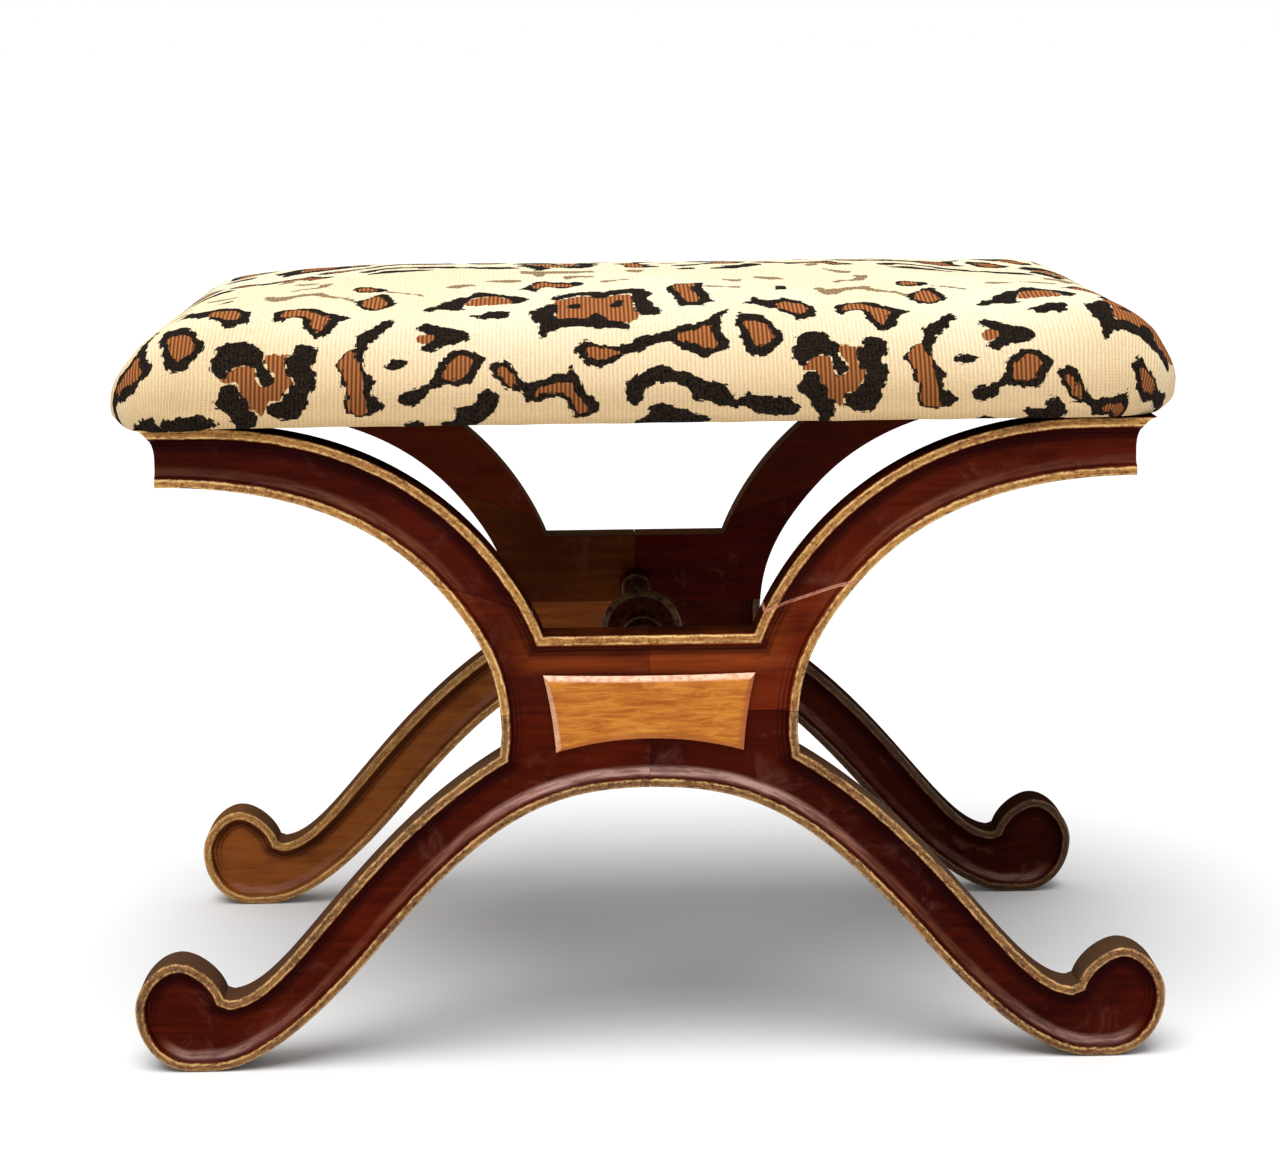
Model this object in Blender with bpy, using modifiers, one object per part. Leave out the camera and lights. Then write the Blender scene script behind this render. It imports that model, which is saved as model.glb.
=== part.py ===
"""Curule bench: two moulded X-shaped frames, joined by a turned stretcher and two side rails, carry a
crowned seat with a woven cover.

Metres, +X along the bench to the right as seen from the front, +Y from the front to the back, +Z up.
The origin is on the floor under the middle of the bench.
"""
import math

import bmesh
import bpy
from mathutils import Matrix, Vector

MM = 0.001

# Fits
CLEARANCE = 0.3 * MM  # between two seated pieces
OVERRUN = 20 * MM  # how far a cutter runs past what it cuts
MERGE = 0.01 * MM  # points closer than this are one
SMOOTH_DEGREES = 35  # edges sharper than this stay crisp

# The two frames
HALF_SPAN = 334.4 * MM  # middle of the bench to the outside of a foot
FRAME_HEIGHT = 419.5 * MM
FRAME_DEPTH = 406 * MM  # front face of the front frame to the back face of the back frame
FRAME_THICKNESS = 30 * MM

# Hub, where the four quarters of a frame meet; its heights go down from the rail at its top
RAIL_HEIGHT = 284.5 * MM
HUB_DEPTH = 99.2 * MM  # rail to the crown of the arch
HUB_JOINT_DROP = 50.5 * MM
WAIST_HALF_WIDTH = 94.5 * MM
WAIST_DROP = 65.5 * MM
RAIL_CORNER_INSET = 27.5 * MM  # in from the waist
SHOULDER_REACH = 1.5 * MM  # out from the waist
SHOULDER_DROP = 12 * MM  # below the waist

# Leg and scrolled foot; insets are from the outside of the foot
FOOT_FLAT_INSET = 36.4 * MM
FOOT_FLAT_LENGTH = 12 * MM
SCROLL_HEIGHT = 73 * MM
SCROLL_TOP_INSET = 28.4 * MM
SCROLL_WIDEST_DROP = 32 * MM  # below the top of the scroll
SCROLL_CURL_INSET = 57.4 * MM
SCROLL_CURL_DROP = 24 * MM
NOTCH_WIDTH = 4 * MM
NOTCH_DROP = 1.5 * MM

# Arm
ARM_END = 308.5 * MM
ARM_DEPTH = 36.5 * MM  # at its end
ARM_CREST_INSET = 28.5 * MM  # in from its end to where the top edge becomes level
CORNICE_REACH = 12.5 * MM  # of the hollow moulding that flares out under the seat
CORNICE_HEIGHT = 18.5 * MM
CORNICE_STEPS = 5

# Pulls of the curved stretches, as shares of the way from each stretch's start to its end
LEG_MIDDLE_SHARES = (0.587, 0.49)
ARCH_SHARES = ((0.39, 0), (0.607, 0.204))
LEG_LOWER_SHARES = ((0.153, 0.228), (0.627, 1))
FOOT_HEEL_SHARES = ((0.577, 0), (1, 0.44))
FOOT_CROWN_SHARES = ((0, 0.447), (0.475, 1))
FOOT_CURL_SHARES = ((0.345, 0), (0.862, 0.458))
LEG_UPPER_SHARES = ((0.215, 0.022), (0.446, 0.627))
ARM_ELBOW_SHARES = (0.171, 0.579)
ARM_RISE_SHARES = ((0, 0.326), (0.12, 0.597))
ARM_LOWER_SHARES = ((0.118, 0.355), (0.366, 1))
ARM_UPPER_SHARES = ((0.066, 0.27), (0.324, 1))
CURVE_STEPS = 8

# Moulded edge: a bead, then a hollow that falls to the sunk field
BEAD_WIDTH = 6.6 * MM
BEAD_RISE = 2 * MM
BEAD_STEPS = 3
COVE_WIDTH = 6.2 * MM
COVE_STEPS = 2
FIELD_SINK = 5 * MM  # below the crest of the bead

# Scarf between hub and arm, as shares of the hub's rail and of the arm's rise
SCARF_TOP_SHARES = (1.134, 0.115)
SCARF_FOOT_SHARES = (0.235, 0.63)

# Gilt tablet on the hub
TABLET_TOP_GAP = 12.5 * MM  # below the hollow along the rail
TABLET_FOOT_GAP = 19.1 * MM  # above the hollow along the arch
TABLET_SIDE_INSET = 27 * MM  # in from the waist to its upper corners
TABLET_TAPER = 7.5 * MM  # in from the upper corners to the lower ones
TABLET_ARCH_RISE = 8.5 * MM
TABLET_ARCH_STEPS = 10
TABLET_THICKNESS = 5.5 * MM
TABLET_BEVEL = 4.5 * MM
TABLET_BEVEL_DROP = 2.8 * MM

# Dowels
DOWEL_RADIUS = 4 * MM
DOWEL_LENGTH = 36 * MM
DOWEL_SIDES = 8
HUB_DOWEL_SHARES = (0.318, 0.762)  # of the waist
RAIL_DOWEL_DROP = 13.5 * MM
ARCH_DOWEL_SHARE = 0.55  # of the way up from the arch to the joint of the hub
END_DOWEL_SHARES = (0.27, 0.73)

# Turned stretcher: distance from its middle as a share of half its length, and radius
STRETCHER_DROP = 37 * MM  # from the rail to its axis
STRETCHER_RADIUS = 28.3 * MM  # of the middle ring
STRETCHER_PROFILE_SHARES = (
    (0, 1), (0.013, 0.97), (0.024, 0.87), (0.029, 0.68), (0.034, 0.5), (0.055, 0.4), (0.09, 0.371),
    (0.125, 0.4), (0.14, 0.43), (0.148, 0.5), (0.166, 0.53), (0.184, 0.5), (0.192, 0.42), (0.21, 0.395),
    (0.28, 0.46), (0.37, 0.495), (0.46, 0.46), (0.62, 0.37), (0.8, 0.3), (0.858, 0.3), (0.866, 0.37),
    (0.882, 0.4), (0.898, 0.37), (0.906, 0.31), (0.94, 0.34), (0.965, 0.425), (1, 0.425))
STRETCHER_SIDES = 20
TENON_RADIUS = 9 * MM
TENON_LENGTH = 20 * MM

# Side rails and corner blocks
SIDE_RAIL_THICKNESS = 24 * MM
BLOCK_LENGTH = 45 * MM
BLOCK_END = 10 * MM
BLOCK_HEIGHT = 32 * MM

# Seat, from its lower edge to its crown
SEAT_END_OVERHANG = 14 * MM  # past the flare of the arms' ends
SEAT_SIDE_OVERHANG = 10 * MM  # past the faces of the frames
SEAT_CORNER_RADIUS = 48 * MM
SEAT_RISE = 82.5 * MM
SEAT_BASE_DRAW = 8 * MM  # how far the lower edge is drawn in
SEAT_PROFILE_SHARES = (  # drawn in, of half the depth; height, of the rise
    (0.006, 0.15), (0, 0.32), (0.03, 0.55), (0.12, 0.72), (0.42, 0.88), (0.8, 1.01))
CORNER_STEPS = 2
BOARD_CORNER_STEPS = 6
COVER_THICKNESS = 1.2 * MM
HEM_WIDTH = 22 * MM
PAD_EASE = 0.4 * MM  # what the cover's rounding takes from the pad
PAD_BASE_DRAW = 3 * MM
BOARD_DRAW = 16 * MM
BOARD_THICKNESS = 12 * MM
DUST_COVER_THICKNESS = 0.8 * MM
DUST_COVER_DRAW = 20 * MM

# Screws: through the corner blocks, and up into the seat board
SCREW_RADIUS = 2 * MM
SCREW_HEAD_RADIUS = 4 * MM
SCREW_HEAD_HEIGHT = 2.4 * MM
SCREW_SIDES = 8
BLOCK_SCREW_LENGTH = 26 * MM
BLOCK_SCREW_GRIP = 12 * MM  # of wood under its head in the block
BLOCK_SCREW_SHARE = 0.755  # of the block's length, from its corner
BLOCK_SCREW_DROP_SHARES = (0.35, 0.7)  # of the block's height: into the arm, and into the side rail
SEAT_SCREW_SHARE = 0.38
SEAT_SCREW_BITE = 9 * MM  # into the seat board

HALF_GAP = CLEARANCE / 2
FRAME_FRONT = -FRAME_DEPTH / 2
FRAME_INSIDE = FRAME_FRONT + FRAME_THICKNESS
FRAME_MIDDLE = FRAME_FRONT + FRAME_THICKNESS / 2
ARCH_HEIGHT = RAIL_HEIGHT - HUB_DEPTH
HUB_JOINT_HEIGHT = RAIL_HEIGHT - HUB_JOINT_DROP
STRETCHER_HEIGHT = RAIL_HEIGHT - STRETCHER_DROP
WAIST = (WAIST_HALF_WIDTH, RAIL_HEIGHT - WAIST_DROP)
RAIL_CORNER = (WAIST_HALF_WIDTH - RAIL_CORNER_INSET, RAIL_HEIGHT)
ARM_FOOT = (ARM_END, FRAME_HEIGHT - ARM_DEPTH)
MOULDING_WIDTH = BEAD_WIDTH + COVE_WIDTH
FIELD_FACE = FRAME_FRONT + FIELD_SINK
STRETCHER_HALF_LENGTH = -FRAME_INSIDE - CLEARANCE
DUST_COVER_BASE = FRAME_HEIGHT + CLEARANCE
SEAT_BASE = DUST_COVER_BASE + DUST_COVER_THICKNESS + CLEARANCE
SEAT_HALF_WIDTH = ARM_END + CORNICE_REACH + SEAT_END_OVERHANG
SEAT_HALF_DEPTH = FRAME_DEPTH / 2 + SEAT_SIDE_OVERHANG
BOARD_BASE = SEAT_BASE + COVER_THICKNESS + CLEARANCE
PAD_BASE = BOARD_BASE + BOARD_THICKNESS + CLEARANCE
SEAT_SCREW_LENGTH = BOARD_BASE + SEAT_SCREW_BITE - (FRAME_HEIGHT - BLOCK_HEIGHT)


def clear_scene():
    for obj in list(bpy.data.objects):
        bpy.data.objects.remove(obj)


def new_collection(name):
    collection = bpy.data.collections.new(name)
    bpy.context.scene.collection.children.link(collection)
    return collection


clear_scene()
PARTS = new_collection("curule_bench")
CUTTERS = new_collection("cutters")


def material(name, colour, roughness, metallic=0.0):
    result = bpy.data.materials.new(name)
    result.use_nodes = True
    shader = result.node_tree.nodes["Principled BSDF"]
    shader.inputs["Base Color"].default_value = (*colour, 1)
    shader.inputs["Roughness"].default_value = roughness
    shader.inputs["Metallic"].default_value = metallic
    return result


MAHOGANY = material("mahogany", (0.11, 0.025, 0.012), 0.25)
GILT = material("gilt", (0.62, 0.36, 0.12), 0.4, 0.6)
BEECH = material("beech", (0.45, 0.28, 0.15), 0.6)
DOWEL_BEECH = material("dowel_beech", (0.55, 0.38, 0.22), 0.6)
PLYWOOD = material("plywood", (0.5, 0.33, 0.18), 0.7)
FOAM = material("foam", (0.8, 0.72, 0.45), 0.9)
WOVEN_CLOTH = material("woven_cloth", (0.8, 0.74, 0.56), 0.85)
BLACK_CAMBRIC = material("black_cambric", (0.01, 0.01, 0.012), 0.9)
STEEL = material("steel", (0.45, 0.44, 0.42), 0.35, 1.0)


def add_part(name, mesh, finish):
    """Put a finished mesh among the parts, in world coordinates, shaded smooth where it is round."""
    mesh.materials.clear()
    mesh.materials.append(finish)
    mesh.shade_smooth()
    mesh.set_sharp_from_angle(angle=math.radians(SMOOTH_DEGREES))
    obj = bpy.data.objects.new(name, mesh)
    PARTS.objects.link(obj)
    return obj


def mesh_from(bm, name):
    bmesh.ops.recalc_face_normals(bm, faces=bm.faces)
    mesh = bpy.data.meshes.new(name)
    bm.to_mesh(mesh)
    bm.free()
    return mesh


def cutter(mesh):
    obj = bpy.data.objects.new(mesh.name, mesh)
    obj.hide_render = True
    obj.display_type = "WIRE"
    CUTTERS.objects.link(obj)
    return obj


def cut_mesh(source, name, region=None, holes=None):
    """The source object's mesh, kept inside a region and with holes cut in it, where they are given."""
    obj = source.copy()
    CUTTERS.objects.link(obj)
    for operation, tool in (("INTERSECT", region), ("DIFFERENCE", holes)):
        if tool is not None:
            boolean = obj.modifiers.new(operation.lower(), "BOOLEAN")
            boolean.operation = operation
            boolean.object = tool
            boolean.solver = "EXACT"
    bpy.context.view_layer.update()
    evaluated = obj.evaluated_get(bpy.context.evaluated_depsgraph_get())
    mesh = bpy.data.meshes.new_from_object(evaluated)
    mesh.name = name
    bpy.data.objects.remove(obj)
    return mesh


def add_face(bm, outline, height=0.0):
    """One flat face through the outline's points, in the XY plane, facing up."""
    face = bm.faces.new([bm.verts.new((x, y, height)) for x, y in outline])
    face.normal_update()
    if face.normal.z < 0:
        face.normal_flip()
    return face


def extrude(bm, face, rise):
    """Lift a copy of the face by the rise, with walls between the two, and give the lifted face. A face
    that closes a solid doesn't stay behind inside it."""
    closes_solid = all(len(edge.link_faces) > 1 for edge in face.edges)
    lifted = bmesh.ops.extrude_face_region(bm, geom=[face])["geom"]
    top = next(item for item in lifted if isinstance(item, bmesh.types.BMFace))
    if closes_solid:
        bmesh.ops.delete(bm, geom=[face], context="FACES_ONLY")
    bmesh.ops.translate(bm, verts=top.verts, vec=(0, 0, rise))
    bmesh.ops.recalc_face_normals(bm, faces=bm.faces)
    return top


def work_steps(bm, face, steps):
    """Work a moulding along the face's edge: each step goes in by a width and up by a rise."""
    for width, rise in steps:
        bmesh.ops.inset_region(bm, faces=[face], thickness=width, depth=rise, use_even_offset=True)


def stand_up(bm, front):
    """Turn what lies in XY, built upwards, to stand in XZ and face -Y, with its base at the front's Y."""
    turn = Matrix.Translation((0, front, 0)) @ Matrix.Rotation(math.radians(90), 4, "X")
    bmesh.ops.transform(bm, matrix=turn, verts=bm.verts)


def standing_prism(name, outline, front, back):
    """A closed block with an outline in XZ, between two values of Y."""
    bm = bmesh.new()
    extrude(bm, add_face(bm, outline), back - front)
    stand_up(bm, back)
    return mesh_from(bm, name)


def lying_prism(name, outline, bottom, top):
    """A closed block with an outline in XY, between two values of Z."""
    bm = bmesh.new()
    extrude(bm, add_face(bm, outline, bottom), top - bottom)
    return mesh_from(bm, name)


def along(start, end, shares):
    """The point at a share of the way from start to end, in each direction by itself."""
    return Vector((start[i] + (end[i] - start[i]) * shares[i] for i in (0, 1)))


def frame_stretches():
    """The right half of a frame's outline, from the crown of the arch round foot, leg and arm to the
    middle of the rail: each stretch's end, with the shares of its two pulls, or None if straight."""
    arch = (0, ARCH_HEIGHT)
    toe = (HALF_SPAN - FOOT_FLAT_INSET, 0)
    heel = (toe[0] - FOOT_FLAT_LENGTH, 0)
    curl = (HALF_SPAN - SCROLL_CURL_INSET, SCROLL_HEIGHT - SCROLL_CURL_DROP)
    notch = (curl[0] - NOTCH_WIDTH, curl[1] - NOTCH_DROP)
    shoulder = (WAIST[0] + SHOULDER_REACH, WAIST[1] - SHOULDER_DROP)
    run_out = ARM_END + CORNICE_REACH + OVERRUN
    return arch, [
        (along(arch, heel, (LEG_MIDDLE_SHARES[0], 1 - LEG_MIDDLE_SHARES[1])), ARCH_SHARES),
        (heel, LEG_LOWER_SHARES),
        (toe, None),
        ((HALF_SPAN, SCROLL_HEIGHT - SCROLL_WIDEST_DROP), FOOT_HEEL_SHARES),
        ((HALF_SPAN - SCROLL_TOP_INSET, SCROLL_HEIGHT), FOOT_CROWN_SHARES),
        (curl, FOOT_CURL_SHARES),
        (notch, None),
        (shoulder, LEG_UPPER_SHARES),
        (WAIST, None),
        (along(WAIST, ARM_FOOT, ARM_ELBOW_SHARES), ARM_RISE_SHARES),
        (ARM_FOOT, ARM_LOWER_SHARES),
        ((run_out, ARM_FOOT[1]), None),
        ((run_out, FRAME_HEIGHT), None),
        ((ARM_END - ARM_CREST_INSET, FRAME_HEIGHT), None),
        (RAIL_CORNER, tuple(tuple(1 - share for share in pull) for pull in reversed(ARM_UPPER_SHARES))),
        ((0, RAIL_HEIGHT), None)]


def bezier(start, end, pulls):
    """The points of one cubic stretch after its start, evenly spaced in its parameter."""
    first, second = (along(start, end, pull) for pull in pulls)
    start, end = Vector(start), Vector(end)
    points = []
    for step in range(1, CURVE_STEPS + 1):
        t = step / CURVE_STEPS
        s = 1 - t
        points.append(start * s ** 3 + first * (3 * s * s * t) + second * (3 * s * t * t) + end * t ** 3)
    return points


def frame_outline():
    """The whole outline of a frame in XZ: its right half, then the same mirrored."""
    start, stretches = frame_stretches()
    right = [Vector(start)]
    for end, pulls in stretches:
        right += bezier(right[-1], end, pulls) if pulls else [Vector(end)]
    left = [Vector((-point.x, point.y)) for point in reversed(right[1:-1])]
    return right + left


def moulding_steps():
    """The bead is half an ellipse and the hollow a quarter of one; both come as steps in and up."""
    points = [(0, 0)]
    for step in range(1, BEAD_STEPS + 1):
        turn = math.pi * step / BEAD_STEPS
        points.append((BEAD_WIDTH * (1 - math.cos(turn)) / 2, BEAD_RISE * math.sin(turn)))
    for step in range(1, COVE_STEPS + 1):
        turn = math.pi / 2 * step / COVE_STEPS
        fall = (FIELD_SINK - BEAD_RISE) * math.sin(turn)
        points.append((BEAD_WIDTH + COVE_WIDTH * (1 - math.cos(turn)), -fall))
    return [(b[0] - a[0], b[1] - a[1]) for a, b in zip(points, points[1:])]


def frame_board(name, moulded_inside):
    """A whole front frame in one board, with the moulding on its front, or on both its faces."""
    bm = bmesh.new()
    back = add_face(bm, frame_outline())
    inside_drop = BEAD_RISE if moulded_inside else 0
    front = extrude(bm, back, FRAME_THICKNESS - BEAD_RISE - inside_drop)
    work_steps(bm, front, moulding_steps())
    if moulded_inside:
        work_steps(bm, back, moulding_steps())
    stand_up(bm, FRAME_INSIDE - inside_drop)
    return cutter(mesh_from(bm, name))


def end_profile(base_height):
    """The outer edge of arm ends and side rails, upwards: plumb, then a hollow flaring out."""
    cornice_base = FRAME_HEIGHT - CORNICE_HEIGHT
    points = [(ARM_END, base_height)]
    for step in range(CORNICE_STEPS + 1):
        turn = math.pi / 2 * step / CORNICE_STEPS
        points.append((ARM_END + CORNICE_REACH * (1 - math.cos(turn)),
                       cornice_base + CORNICE_HEIGHT * math.sin(turn)))
    return points


def scarf_line(offset):
    """Two points of the scarf in XZ, well past the arm's edges, moved square to it by the offset."""
    top = Vector((RAIL_CORNER[0] * SCARF_TOP_SHARES[0],
                  RAIL_HEIGHT + (FRAME_HEIGHT - RAIL_HEIGHT) * SCARF_TOP_SHARES[1]))
    foot = along(WAIST, ARM_FOOT, SCARF_FOOT_SHARES)
    run = (foot - top).normalized()
    square = Vector((-run.y, run.x)) * offset
    return top - run * (OVERRUN / 2) + square, foot + run * OVERRUN + square


def quarter_regions():
    """The outlines in XZ that cut the right half of a frame into its leg, hub piece and arm."""
    out = HALF_SPAN + OVERRUN
    leg = [(HALF_GAP, -OVERRUN), (out, -OVERRUN), (out, HUB_JOINT_HEIGHT - HALF_GAP),
           (HALF_GAP, HUB_JOINT_HEIGHT - HALF_GAP)]
    top, foot = scarf_line(-HALF_GAP)
    hub = [(HALF_GAP, HUB_JOINT_HEIGHT + HALF_GAP), (foot.x, HUB_JOINT_HEIGHT + HALF_GAP), foot, top,
           (HALF_GAP, top.y)]
    top, foot = scarf_line(HALF_GAP)
    ceiling = FRAME_HEIGHT + OVERRUN
    arm = [top, foot, *end_profile(foot.y), (ARM_END + CORNICE_REACH, ceiling), (top.x, ceiling)]
    return {"leg": leg, "hub": hub, "arm": arm}


def turn_up_to(direction):
    """The turn that brings the upward direction to a given one."""
    return Vector((0, 0, 1)).rotation_difference(direction).to_matrix().to_4x4()


def rod(bm, radius, length, centre, direction, sides):
    """A closed cylinder about a centre, along a direction."""
    bmesh.ops.create_cone(
        bm, cap_ends=True, segments=sides, radius1=radius, radius2=radius, depth=length,
        matrix=Matrix.Translation(centre) @ turn_up_to(direction))


def turned_name(name):
    """The name of the piece that stands opposite, half a turn round the bench."""
    words = {"front": "back", "right": "left", "left": "right"}
    return "_".join(words.get(word, word) for word in name.split("_"))


def add_with_turned(mesh, finish):
    """Add a piece of the front frame or of the right side, and its like turned half round the bench."""
    turned = mesh.copy()
    turned.name = turned_name(mesh.name)
    turned.transform(Matrix.Rotation(math.pi, 4, "Z"))
    add_part(mesh.name, mesh, finish)
    add_part(turned.name, turned, finish)


def at_both_frames(places):
    """The named places of the front frame, and their like at the back one."""
    half_turn = Matrix.Rotation(math.pi, 3, "Z")
    turned = {turned_name(name): (half_turn @ centre, half_turn @ direction)
              for name, (centre, direction) in places.items()}
    return {**places, **turned}


def dowel_places():
    """Centre and direction of each dowel: four up through each hub, two across it, two at each arm's
    end into the side rail."""
    places = {}
    for side, hand in ((1, "right"), (-1, "left")):
        for number, share in enumerate(HUB_DOWEL_SHARES, 1):
            places[f"hub_dowel_front_{hand}_{number}"] = (
                Vector((side * WAIST_HALF_WIDTH * share, FRAME_MIDDLE, HUB_JOINT_HEIGHT)),
                Vector((0, 0, 1)))
        for number, share in enumerate(END_DOWEL_SHARES, 1):
            places[f"rail_dowel_front_{hand}_{number}"] = (
                Vector((side * (ARM_END - SIDE_RAIL_THICKNESS / 2), FRAME_INSIDE,
                        FRAME_HEIGHT - ARM_DEPTH * share)),
                Vector((0, 1, 0)))
    arch_dowel = ARCH_HEIGHT + (HUB_JOINT_HEIGHT - ARCH_HEIGHT) * ARCH_DOWEL_SHARE
    for level, height in (("upper", RAIL_HEIGHT - RAIL_DOWEL_DROP), ("lower", arch_dowel)):
        places[f"cross_dowel_front_{level}"] = (Vector((0, FRAME_MIDDLE, height)), Vector((1, 0, 0)))
    return at_both_frames(places)


def block_corner(side):
    """The inner corner of front arm and side rail, where a corner block sits."""
    return Vector((side * (ARM_END - SIDE_RAIL_THICKNESS - CLEARANCE), FRAME_INSIDE + CLEARANCE, 0))


def block_screw_places():
    """Seat of each screw's head and the way it drives: one into the arm, one into the side rail."""
    run = BLOCK_LENGTH * BLOCK_SCREW_SHARE
    arm_height, rail_height = (FRAME_HEIGHT - BLOCK_HEIGHT * share for share in BLOCK_SCREW_DROP_SHARES)
    places = {}
    for side, hand in ((1, "right"), (-1, "left")):
        corner = block_corner(side)
        places[f"arm_screw_front_{hand}"] = (
            corner + Vector((-side * run, BLOCK_SCREW_GRIP, arm_height)), Vector((0, -1, 0)))
        places[f"rail_screw_front_{hand}"] = (
            corner + Vector((-side * BLOCK_SCREW_GRIP, run, rail_height)), Vector((side, 0, 0)))
    return at_both_frames(places)


def seat_screw_places():
    """Seat of each screw's head, under a corner block; all drive upwards."""
    inset = BLOCK_LENGTH * SEAT_SCREW_SHARE
    places = {}
    for side, hand in ((1, "right"), (-1, "left")):
        head = block_corner(side) + Vector((-side * inset, inset, FRAME_HEIGHT - BLOCK_HEIGHT))
        places[f"seat_screw_front_{hand}"] = (head, Vector((0, 0, 1)))
    return at_both_frames(places)


def screw_solid(head, drive, length, ease=0.0, head_run=0.0):
    """A flat-headed screw at its place. With an ease all round and a run for the head it is the hole
    that such a screw goes in."""
    bm = bmesh.new()
    head_radius = SCREW_HEAD_RADIUS + ease
    head_height = SCREW_HEAD_HEIGHT + head_run
    turns = [2 * math.pi * step / SCREW_SIDES for step in range(SCREW_SIDES)]
    rim = [(head_radius * math.cos(turn), head_radius * math.sin(turn)) for turn in turns]
    under = extrude(bm, add_face(bm, rim, -head_height), head_height)
    work_steps(bm, under, [(SCREW_HEAD_RADIUS - SCREW_RADIUS, 0)])
    extrude(bm, under, length + ease)
    bmesh.ops.transform(bm, matrix=Matrix.Translation(head) @ turn_up_to(drive), verts=bm.verts)
    return bm


def bores():
    """All the holes in one cutter: for dowels, stretcher tenons and screws."""
    bm = bmesh.new()
    for centre, direction in dowel_places().values():
        rod(bm, DOWEL_RADIUS + CLEARANCE, DOWEL_LENGTH + 2 * CLEARANCE, centre, direction, DOWEL_SIDES)
    tenon_reach = STRETCHER_HALF_LENGTH + TENON_LENGTH + CLEARANCE
    rod(bm, TENON_RADIUS + CLEARANCE, 2 * tenon_reach, Vector((0, 0, STRETCHER_HEIGHT)),
        Vector((0, 1, 0)), STRETCHER_SIDES)
    for places, length in ((block_screw_places(), BLOCK_SCREW_LENGTH),
                           (seat_screw_places(), SEAT_SCREW_LENGTH)):
        for head, drive in places.values():
            hole = mesh_from(screw_solid(head, drive, length, CLEARANCE, OVERRUN), "screw_hole")
            bm.from_mesh(hole)
            bpy.data.meshes.remove(hole)
    return cutter(mesh_from(bm, "bores"))


def add_frames(holes):
    """Three quarters to each half of each frame. The back frame is the front one turned half round."""
    leg_board = frame_board("leg_board", True)
    upper_board = frame_board("upper_board", False)
    for right in (True, False):
        side = "right" if right else "left"
        for piece, outline in quarter_regions().items():
            if not right:
                outline = [(-x, z) for x, z in outline]
            region = cutter(standing_prism(f"{piece}_{side}_region", outline, FRAME_FRONT - OVERRUN,
                                           FRAME_INSIDE + OVERRUN))
            board = leg_board if piece == "leg" else upper_board
            mesh = cut_mesh(board, f"front_{piece}_{side}", region, holes)
            add_with_turned(mesh, MAHOGANY)


def add_tablets():
    """A raised panel with bevelled edges and a foot that follows the arch."""
    top = RAIL_HEIGHT - MOULDING_WIDTH - TABLET_TOP_GAP
    crown = ARCH_HEIGHT + MOULDING_WIDTH + TABLET_FOOT_GAP
    half_width = WAIST_HALF_WIDTH - TABLET_SIDE_INSET
    outline = [(half_width, top), (-half_width, top)]
    for step in range(TABLET_ARCH_STEPS + 1):
        across = 2 * step / TABLET_ARCH_STEPS - 1
        outline.append(((half_width - TABLET_TAPER) * across, crown - TABLET_ARCH_RISE * across ** 2))
    bm = bmesh.new()
    face = extrude(bm, add_face(bm, outline), TABLET_THICKNESS - TABLET_BEVEL_DROP)
    work_steps(bm, face, [(TABLET_BEVEL, TABLET_BEVEL_DROP)])
    stand_up(bm, FIELD_FACE - CLEARANCE)
    add_with_turned(mesh_from(bm, "front_tablet"), GILT)


def add_stretcher():
    """Turned between the hubs: a ring in the middle, and on each side a collar, a vase and a foot."""
    half = [(STRETCHER_RADIUS * radius, STRETCHER_HALF_LENGTH * run)
            for run, radius in STRETCHER_PROFILE_SHARES]
    end = STRETCHER_HALF_LENGTH + TENON_LENGTH
    half += [(TENON_RADIUS, STRETCHER_HALF_LENGTH), (TENON_RADIUS, end), (0, end)]
    profile = half[::-1] + [(radius, -run) for radius, run in half[1:]]
    mesh = bpy.data.meshes.new("stretcher")
    mesh.from_pydata([(radius, 0, run) for radius, run in profile],
                     [(index, index + 1) for index in range(len(profile) - 1)], [])
    turning = cutter(mesh)
    screw = turning.modifiers.new("turned", "SCREW")
    screw.steps = screw.render_steps = STRETCHER_SIDES
    screw.use_merge_vertices = True
    screw.merge_threshold = MERGE
    turned = cut_mesh(turning, "stretcher")
    bpy.data.objects.remove(turning)
    lay_down = Matrix.Rotation(math.radians(90), 4, "X")
    turned.transform(Matrix.Translation((0, 0, STRETCHER_HEIGHT)) @ lay_down)
    add_part("stretcher", turned, MAHOGANY)


def add_side_rails(holes):
    """Between the arms' ends, with the same flared edge as theirs."""
    inside = ARM_END - SIDE_RAIL_THICKNESS
    base = ARM_FOOT[1]
    outline = [(inside, FRAME_HEIGHT), (inside, base), *end_profile(base)]
    length = -FRAME_INSIDE - CLEARANCE
    solid = cutter(standing_prism("side_rail_solid", outline, -length, length))
    mesh = cut_mesh(solid, "side_rail_right", holes=holes)
    bpy.data.objects.remove(solid)
    add_with_turned(mesh, MAHOGANY)


def add_corner_blocks(holes):
    """Beech blocks with clipped ends, one in each corner of arm and side rail."""
    for side, hand in ((1, "right"), (-1, "left")):
        corner = block_corner(side)
        reach = [(0, 0), (BLOCK_LENGTH, 0), (BLOCK_LENGTH, BLOCK_END), (BLOCK_END, BLOCK_LENGTH),
                 (0, BLOCK_LENGTH)]
        outline = [(corner.x - side * x, corner.y + y) for x, y in reach]
        solid = cutter(lying_prism("block_solid", outline, FRAME_HEIGHT - BLOCK_HEIGHT, FRAME_HEIGHT))
        mesh = cut_mesh(solid, f"corner_block_front_{hand}", holes=holes)
        bpy.data.objects.remove(solid)
        add_with_turned(mesh, BEECH)


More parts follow.
